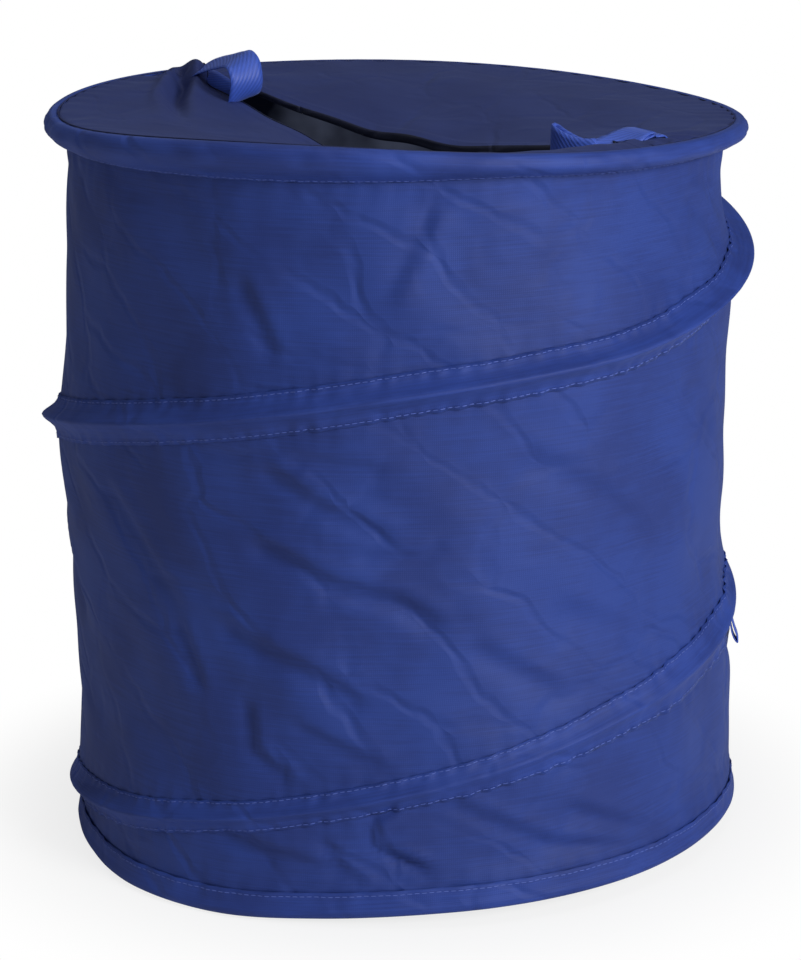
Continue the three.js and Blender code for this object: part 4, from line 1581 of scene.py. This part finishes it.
    def part(self, side: FlapSide, end: int, points: Array, flat: Array, depth: Array) -> list:
        """One of the three parts that a flap is drawn in: its middle or an end beside it.

        Args:
            side: Rear or front half.
            end: -1 for the left end, 0 for the middle, 1 for the right end.
            points: The part's lines of points in mm.
            flat: Places on the uncut cloth in mm.
            depth: How deep the cloth is on each line in mm; not used.

        Returns:
            The cloth and its band of painted shade.
        """
        sign, half = side.value, side.name.lower()
        place = {-1: "_left_end", 0: "", 1: "_right_end"}[end]
        faces = grid_faces(len(points), self.across, Winding.OPEN)
        cloth = mesh_piece(f"{half}_flap_cloth{place}", points, faces, flat)
        # Both flaps face upwards, so that the thickness and the inner face lie below
        up = np.empty(3 * len(cloth.data.polygons))
        cloth.data.polygons.foreach_get("normal", up)
        if up.reshape(-1, 3)[:, 2].mean() < 0:
            cloth.data.flip_normals()
        # The edges that meet stay crisp, so that no line shows between the parts
        ends = np.empty(2 * len(cloth.data.edges), np.int32)
        cloth.data.edges.foreach_get("vertices", ends)
        line = ends.reshape(-1, 2) // self.across
        meets = {-1: (len(points) - 1,), 0: (0, len(points) - 1), 1: (0,)}[end]
        crisp = (line[:, 0] == line[:, 1]) & np.isin(line[:, 0], meets)
        cloth.data.attributes.new("sharp_edge", "BOOLEAN", "EDGE").data.foreach_set("value", crisp)
        cloth.data.materials.append(self.finishes.lid)
        cloth.data.materials.append(self.finishes.inside)
        thicken(cloth, self.cloth, 1)
        body = f"{half}_flap"
        if end == 0:
            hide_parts(f"{body}_panel", f"{body}_tongue")
        # A near-black band hangs from the free edge and paints the shade under it
        shade_band = self.binding(f"{half}_edge_tape{place}", side, points[:, 0])
        for piece in (cloth, shade_band):
            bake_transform(piece)
        return [cloth, shade_band]

    def build(self) -> list:
        """Both flaps with their bands of painted shade, and the dark cord of painted groove shade round them.
        """
        return [piece for side in FlapSide for piece in self.flap(side)] + [self.seam()]


@dataclass
class PullLoop:
    """A webbing loop sewn to the lid at its root, and the doubled end behind it."""

    lid: Lid
    place: LoopPlace
    path: tuple
    width: float = 25.0
    webbing: float = 1.4
    steps: int = 90
    end_from: float = -17.0
    end_to: float = -2.6
    bar_places: tuple = (-4.6, -8.0)
    bar_half: float = 10.5
    bar_lift: float = 1.9

    def ribbon(self, name: str, knots: Array, leans: Array, steps: int) -> Piece:
        """A strap along a smooth curve through knots: its width turns by the lean about the way it runs.

        Args:
            name: The strap's name.
            knots: Middle line in mm.
            leans: Degrees by which the strap's width tilts at each knot.
            steps: Points along the strap.

        Returns:
            The strap.
        """
        reach = lengths_along(knots)
        at = np.linspace(0, reach[-1], steps)
        line = curve_through(reach, knots, at)
        lean = np.radians(curve_through(reach, leans, at))[:, None]
        along = unit(np.gradient(line, axis=0))
        tilted = np.cos(lean) * self.place.ways()[1] + np.sin(lean) * UPRIGHT
        wide = unit(tilted - (tilted * along).sum(1, keepdims=True) * along)
        face = np.cross(along, wide)
        across = np.linspace(-0.5, 0.5, 9)
        lay = 0.5 * self.webbing * (1 - 0.5 * smooth(0.4, 0.5, np.abs(across)))
        middle = line[:, None] + wide[:, None] * (across * self.width)[:, None]
        skins = [middle + side * face[:, None] * lay[:, None] for side in (1, -1)]
        return strap_piece(name, skins, across * self.width, at)

    def build(self) -> list:
        """The loop from its root round and back, its sewn end behind the root, and a bar of stitches.

        Returns:
            The pieces.
        """
        along, level = self.place.ways()
        name, root = self.place.name, np.array([self.place.x, self.place.y, self.place.z])
        *moves, leans = np.array(self.path, float).T
        knots = root + np.stack(moves, 1) @ np.stack([along, level, UPRIGHT])
        loop = self.ribbon(f"{name}_loop_webbing", knots, leans, self.steps)
        dress(loop, self.lid.finishes.webbing, f"{name}_handle", "webbing", f"{name}_loop")
        back = np.linspace(self.end_from, self.end_to, 11)
        ends = root + back[:, None] * along
        # The end shows as far as its two bars of stitches and then tucks under the lid's cloth
        ends[:, 2] = self.lid.surface(ends[:, 0], ends[:, 1]) - 1.7 + 2.8 * smooth(-12.5, -9.5, back)
        patch = self.ribbon(f"{name}_sewn_end", ends, np.zeros(len(ends)), 12)
        dress(patch, self.lid.finishes.webbing, "top", "webbing", f"{name}_patch")
        pieces = [loop, patch]
        thread = Stitching(pitch=2.4, length=2.0, width=0.8)
        for row, offset in enumerate(self.bar_places):
            across = np.linspace(-self.bar_half, self.bar_half, 12)[:, None]
            line = root + offset * along + across * level
            line[:, 2] = self.lid.surface(line[:, 0], line[:, 1]) + self.bar_lift
            bar = thread.row(f"{name}_bar_stitches_{row + 1}", line, np.tile(UPRIGHT, (len(line), 1)))
            dress(bar, self.lid.finishes.thread, "top", "webbing")
            pieces.append(bar)
        return pieces


# Along the loop, across it, up, and the lean in degrees
LEFT_PATH = (
    (-2, 0, -0.85, 22), (8, -1, -1.2, 24), (20, -2, -2.5, 30), (34, -2, -5.5, 34), (49, -1, -9, 34),
    (62, 0, -11, 26), (71, 0, -9, 14), (77, 0, -2, 4), (78.5, 0, 6, 4), (75, 0, 14, 12), (66, 1, 17.5, 22),
    (51, 2, 15.5, 24), (36, 2, 12, 24), (22, 1.5, 8.5, 26), (10, 1, 4.5, 28), (3, 0.5, 2, 24),
    (-2, 0, 0.85, 22),
)
RIGHT_PATH = (
    (-2, 0, -0.85, 0), (4, 0, -1.5, -6), (11, -1, -5, -18), (19, -1, -11, -40), (25, -5, -15.5, -65),
    (30.5, -15, -16.5, -82), (34.5, -25, -14.5, -90), (37, -33, -11.5, -90), (38.3, -39.5, -9, -90),
    (39.3, -41.5, -8.5, -90), (40.3, -39.5, -9, -90), (40.5, -33, -11.5, -90), (38, -24, -14.5, -86),
    (34, -13.5, -15.5, -76), (28, -3, -13.5, -55), (20, 1, -7.5, -32), (11, 0.5, -2.2, -14), (4, 0, 0.5, -4),
    (-2, 0, 0.85, 0),
)


@dataclass
class StorageTie(Assembly):
    """The small strap loop that ties the hamper when it is stored flat, caught in the spiral's lower seam."""

    spiral: SpiralLine
    wall: Wall
    degrees: float = 38.5
    width: float = 10.0
    ply: float = 0.8
    steps: int = 60
    off_wall: float = 0.4
    under_seam: float = 0.5
    profile: tuple = (
        (1.0, 1.0), (1.0, -3.0), (1.6, -9.0), (2.9, -13.5), (4.6, -16.0), (5.2, -14.8), (4.6, -10.5),
        (3.4, -6.0), (2.6, -2.0), (2.3, 1.0),
    )

    def build(self) -> Piece:
        """A strap folded down on itself: out from the seam, round at the foot and back up.

        Returns:
            The tie.
        """
        counted = np.array([self.degrees + 360])
        top = float(self.spiral.edges(counted)[0][0]) - self.under_seam
        knots = np.array(self.profile)
        at = np.linspace(0, len(knots) - 1, self.steps)
        line = curve_through(np.arange(len(knots)), knots, at)
        way = unit(np.gradient(line, axis=0))
        normal = np.stack([-way[:, 1], way[:, 0]], 1)
        across = np.linspace(-0.5, 0.5, 5) * self.width
        middle = np.full((1, 1), top - 8)
        wall_at = self.wall.radius(np.full((1, 1), self.degrees), middle)[0, 0] + self.off_wall
        angle = math.radians(self.degrees)
        outward = np.array([math.cos(angle), math.sin(angle), 0])
        level = np.cross(UPRIGHT, outward)
        skins = []
        for lay in (0.5, -0.5):
            flat = line + lay * self.ply * normal
            spot = (wall_at + flat[:, :1]) * outward + (top + flat[:, 1:]) * UPRIGHT
            skins.append(self.stance.sideways(spot[:, None] + across[:, None] * level))
        tie = strap_piece("storage_tie_strap", skins, across, at * 0.7)
        dress(tie, self.finishes.webbing, "base", "webbing", "storage_tie")
        flatten(tie)
        return tie


@dataclass
class Studio:
    """A pale floor that runs out of sight, soft lamps and the camera."""

    distance: float = 2037.5
    azimuth_deg: float = 45.0
    elevation_deg: float = 15.543
    roll_deg: float = -0.65
    focal_px: float = 2979.4
    offset_px: tuple = (-7.71, -15.8)
    picture_px: tuple = (801, 960)
    aim: tuple = (0.0, 0.0, 240.0)
    shadow_m: tuple = (0.2, 0.36)
    shadow_share: float = 0.78
    fill_strength: float = 0.13
    floor_reach: float = 9000.0
    floor_height: float = -0.4

    def camera(self) -> Piece:
        """The camera at its distance and angles, with the middle of its picture shifted.

        Returns:
            The camera.
        """
        azimuth, elevation = math.radians(self.azimuth_deg), math.radians(self.elevation_deg)
        level = math.cos(elevation)
        away = Vector((math.sin(azimuth) * level, -math.cos(azimuth) * level, math.sin(elevation)))
        data = bpy.data.cameras.new("camera")
        data.sensor_width = 36
        data.lens = self.focal_px * data.sensor_width / max(self.picture_px)
        data.shift_x = -self.offset_px[0] / max(self.picture_px)
        data.shift_y = self.offset_px[1] / max(self.picture_px)
        data.clip_end = 50
        camera = put("camera", data)
        camera.location = (Vector(self.aim) + away * self.distance) * MM
        turn = (-away).to_track_quat("-Z", "Y").to_matrix().to_4x4()
        camera.rotation_euler = turn.to_euler()
        camera.rotation_euler.rotate_axis("Z", math.radians(self.roll_deg))
        bpy.context.scene.camera = camera
        return camera

    def lamp(self, name: str, place: tuple, size: float, watts: float) -> Piece:
        """A square soft lamp that faces the drum's middle."""
        data = bpy.data.lights.new(name, "AREA")
        data.size, data.energy = size, watts
        lamp = put(name, data)
        lamp.location = place
        lamp.rotation_euler = (Vector((0, 0, 0.25)) - lamp.location).to_track_quat("-Z", "Y").to_euler()
        return lamp

    def floor(self) -> Piece:
        """A wide floor, white to the camera where no shadow falls and plain pale paint to everything else.

        Returns:
            The floor.
        """
        reach, low = self.floor_reach, self.floor_height
        level = np.array([(-reach, -reach), (reach, -reach), (reach, reach), (-reach, reach)])
        corners = np.insert(level, 2, low, axis=1)
        floor = mesh_piece("floor", corners, np.array([[0, 1, 2, 3]]))
        shader = Shader(bpy.data.materials.new("pale studio floor"))
        paint = shader.add("BsdfDiffuse", Color=linear("#f4f4f4")).outputs[0]
        white = shader.add("Emission", Color=linear("#ffffff"), Strength=1.0).outputs[0]
        away = shader.add("VectorMath", {"operation": "LENGTH"}, i0=shader.place()).outputs["Value"]
        # Round the foot the camera sees the shadow faintly, and further out it sees plain white
        share = shader.ramp(away, self.shadow_m, (self.shadow_share, 1.0), "SMOOTHSTEP")
        seen = shader.add("LightPath").outputs["Is Camera Ray"]
        shown = shader.maths("MULTIPLY", share, seen)
        shader.finish(shader.add("MixShader", i0=shown, i1=paint, i2=white).outputs[0])
        floor.data.materials.append(shader.owner)
        return floor

    def build(self) -> None:
        """World, floor, lamps and camera."""
        world = bpy.data.worlds.new("studio")
        bpy.context.scene.world = world
        shader = Shader(world, "OutputWorld")
        seen = shader.add("LightPath")
        rays = [seen.outputs[f"Is {kind} Ray"] for kind in ("Camera", "Transmission")]
        fill = shader.add("Background", Color=linear("#ffffff"), Strength=self.fill_strength).outputs[0]
        white = shader.add("Background", Color=linear("#ffffff"), Strength=1.0).outputs[0]
        shown = shader.maths("MAXIMUM", *rays)
        shader.finish(shader.add("MixShader", i0=shown, i1=fill, i2=white).outputs[0])
        self.floor()
        self.camera()
        # The key stands to the right of the camera, high and soft; a weak fill keeps the left flank readable
        self.lamp("key", (2.95, -0.1, 1.5), 1.1, 80)
        self.lamp("top", (0.2, -0.2, 2.6), 1.4, 12)
        self.lamp("left fill", (-1.6, -2.6, 1.2), 2.0, 6)


def main() -> None:
    """Builds the hamper from the floor up, then the studio, and reports each piece."""
    logging.basicConfig(level=logging.INFO, format="%(message)s")
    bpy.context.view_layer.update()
    scene = bpy.context.scene
    scene.view_settings.view_transform = "Standard"
    stance = Stance()
    line = SpiralLine(stance)
    finishes = Finishes()
    wall = Wall(stance, finishes, line)
    made = [*Hem(stance, finishes).build(), wall.build()]
    made += Spiral(stance, finishes, line, wall).build()
    made += Rim(stance, finishes).build()
    made += Hoop(stance, finishes, "bottom", "base", 229.2, stance.floor_height).build()
    made += Hoop(stance, finishes, "top", "top", 232.1, stance.nose_height).build()
    lid = Lid(stance, finishes)
    made += lid.build()
    for place, path in ((LEFT_PLACE, LEFT_PATH), (RIGHT_PLACE, RIGHT_PATH)):
        made += PullLoop(lid, place, path).build()
    made.append(StorageTie(stance, finishes, line, wall).build())
    for piece in made:
        log.info("%s: %d faces", piece.name, len(piece.data.polygons))
    Studio().build()


if __name__ == "__main__":
    main()
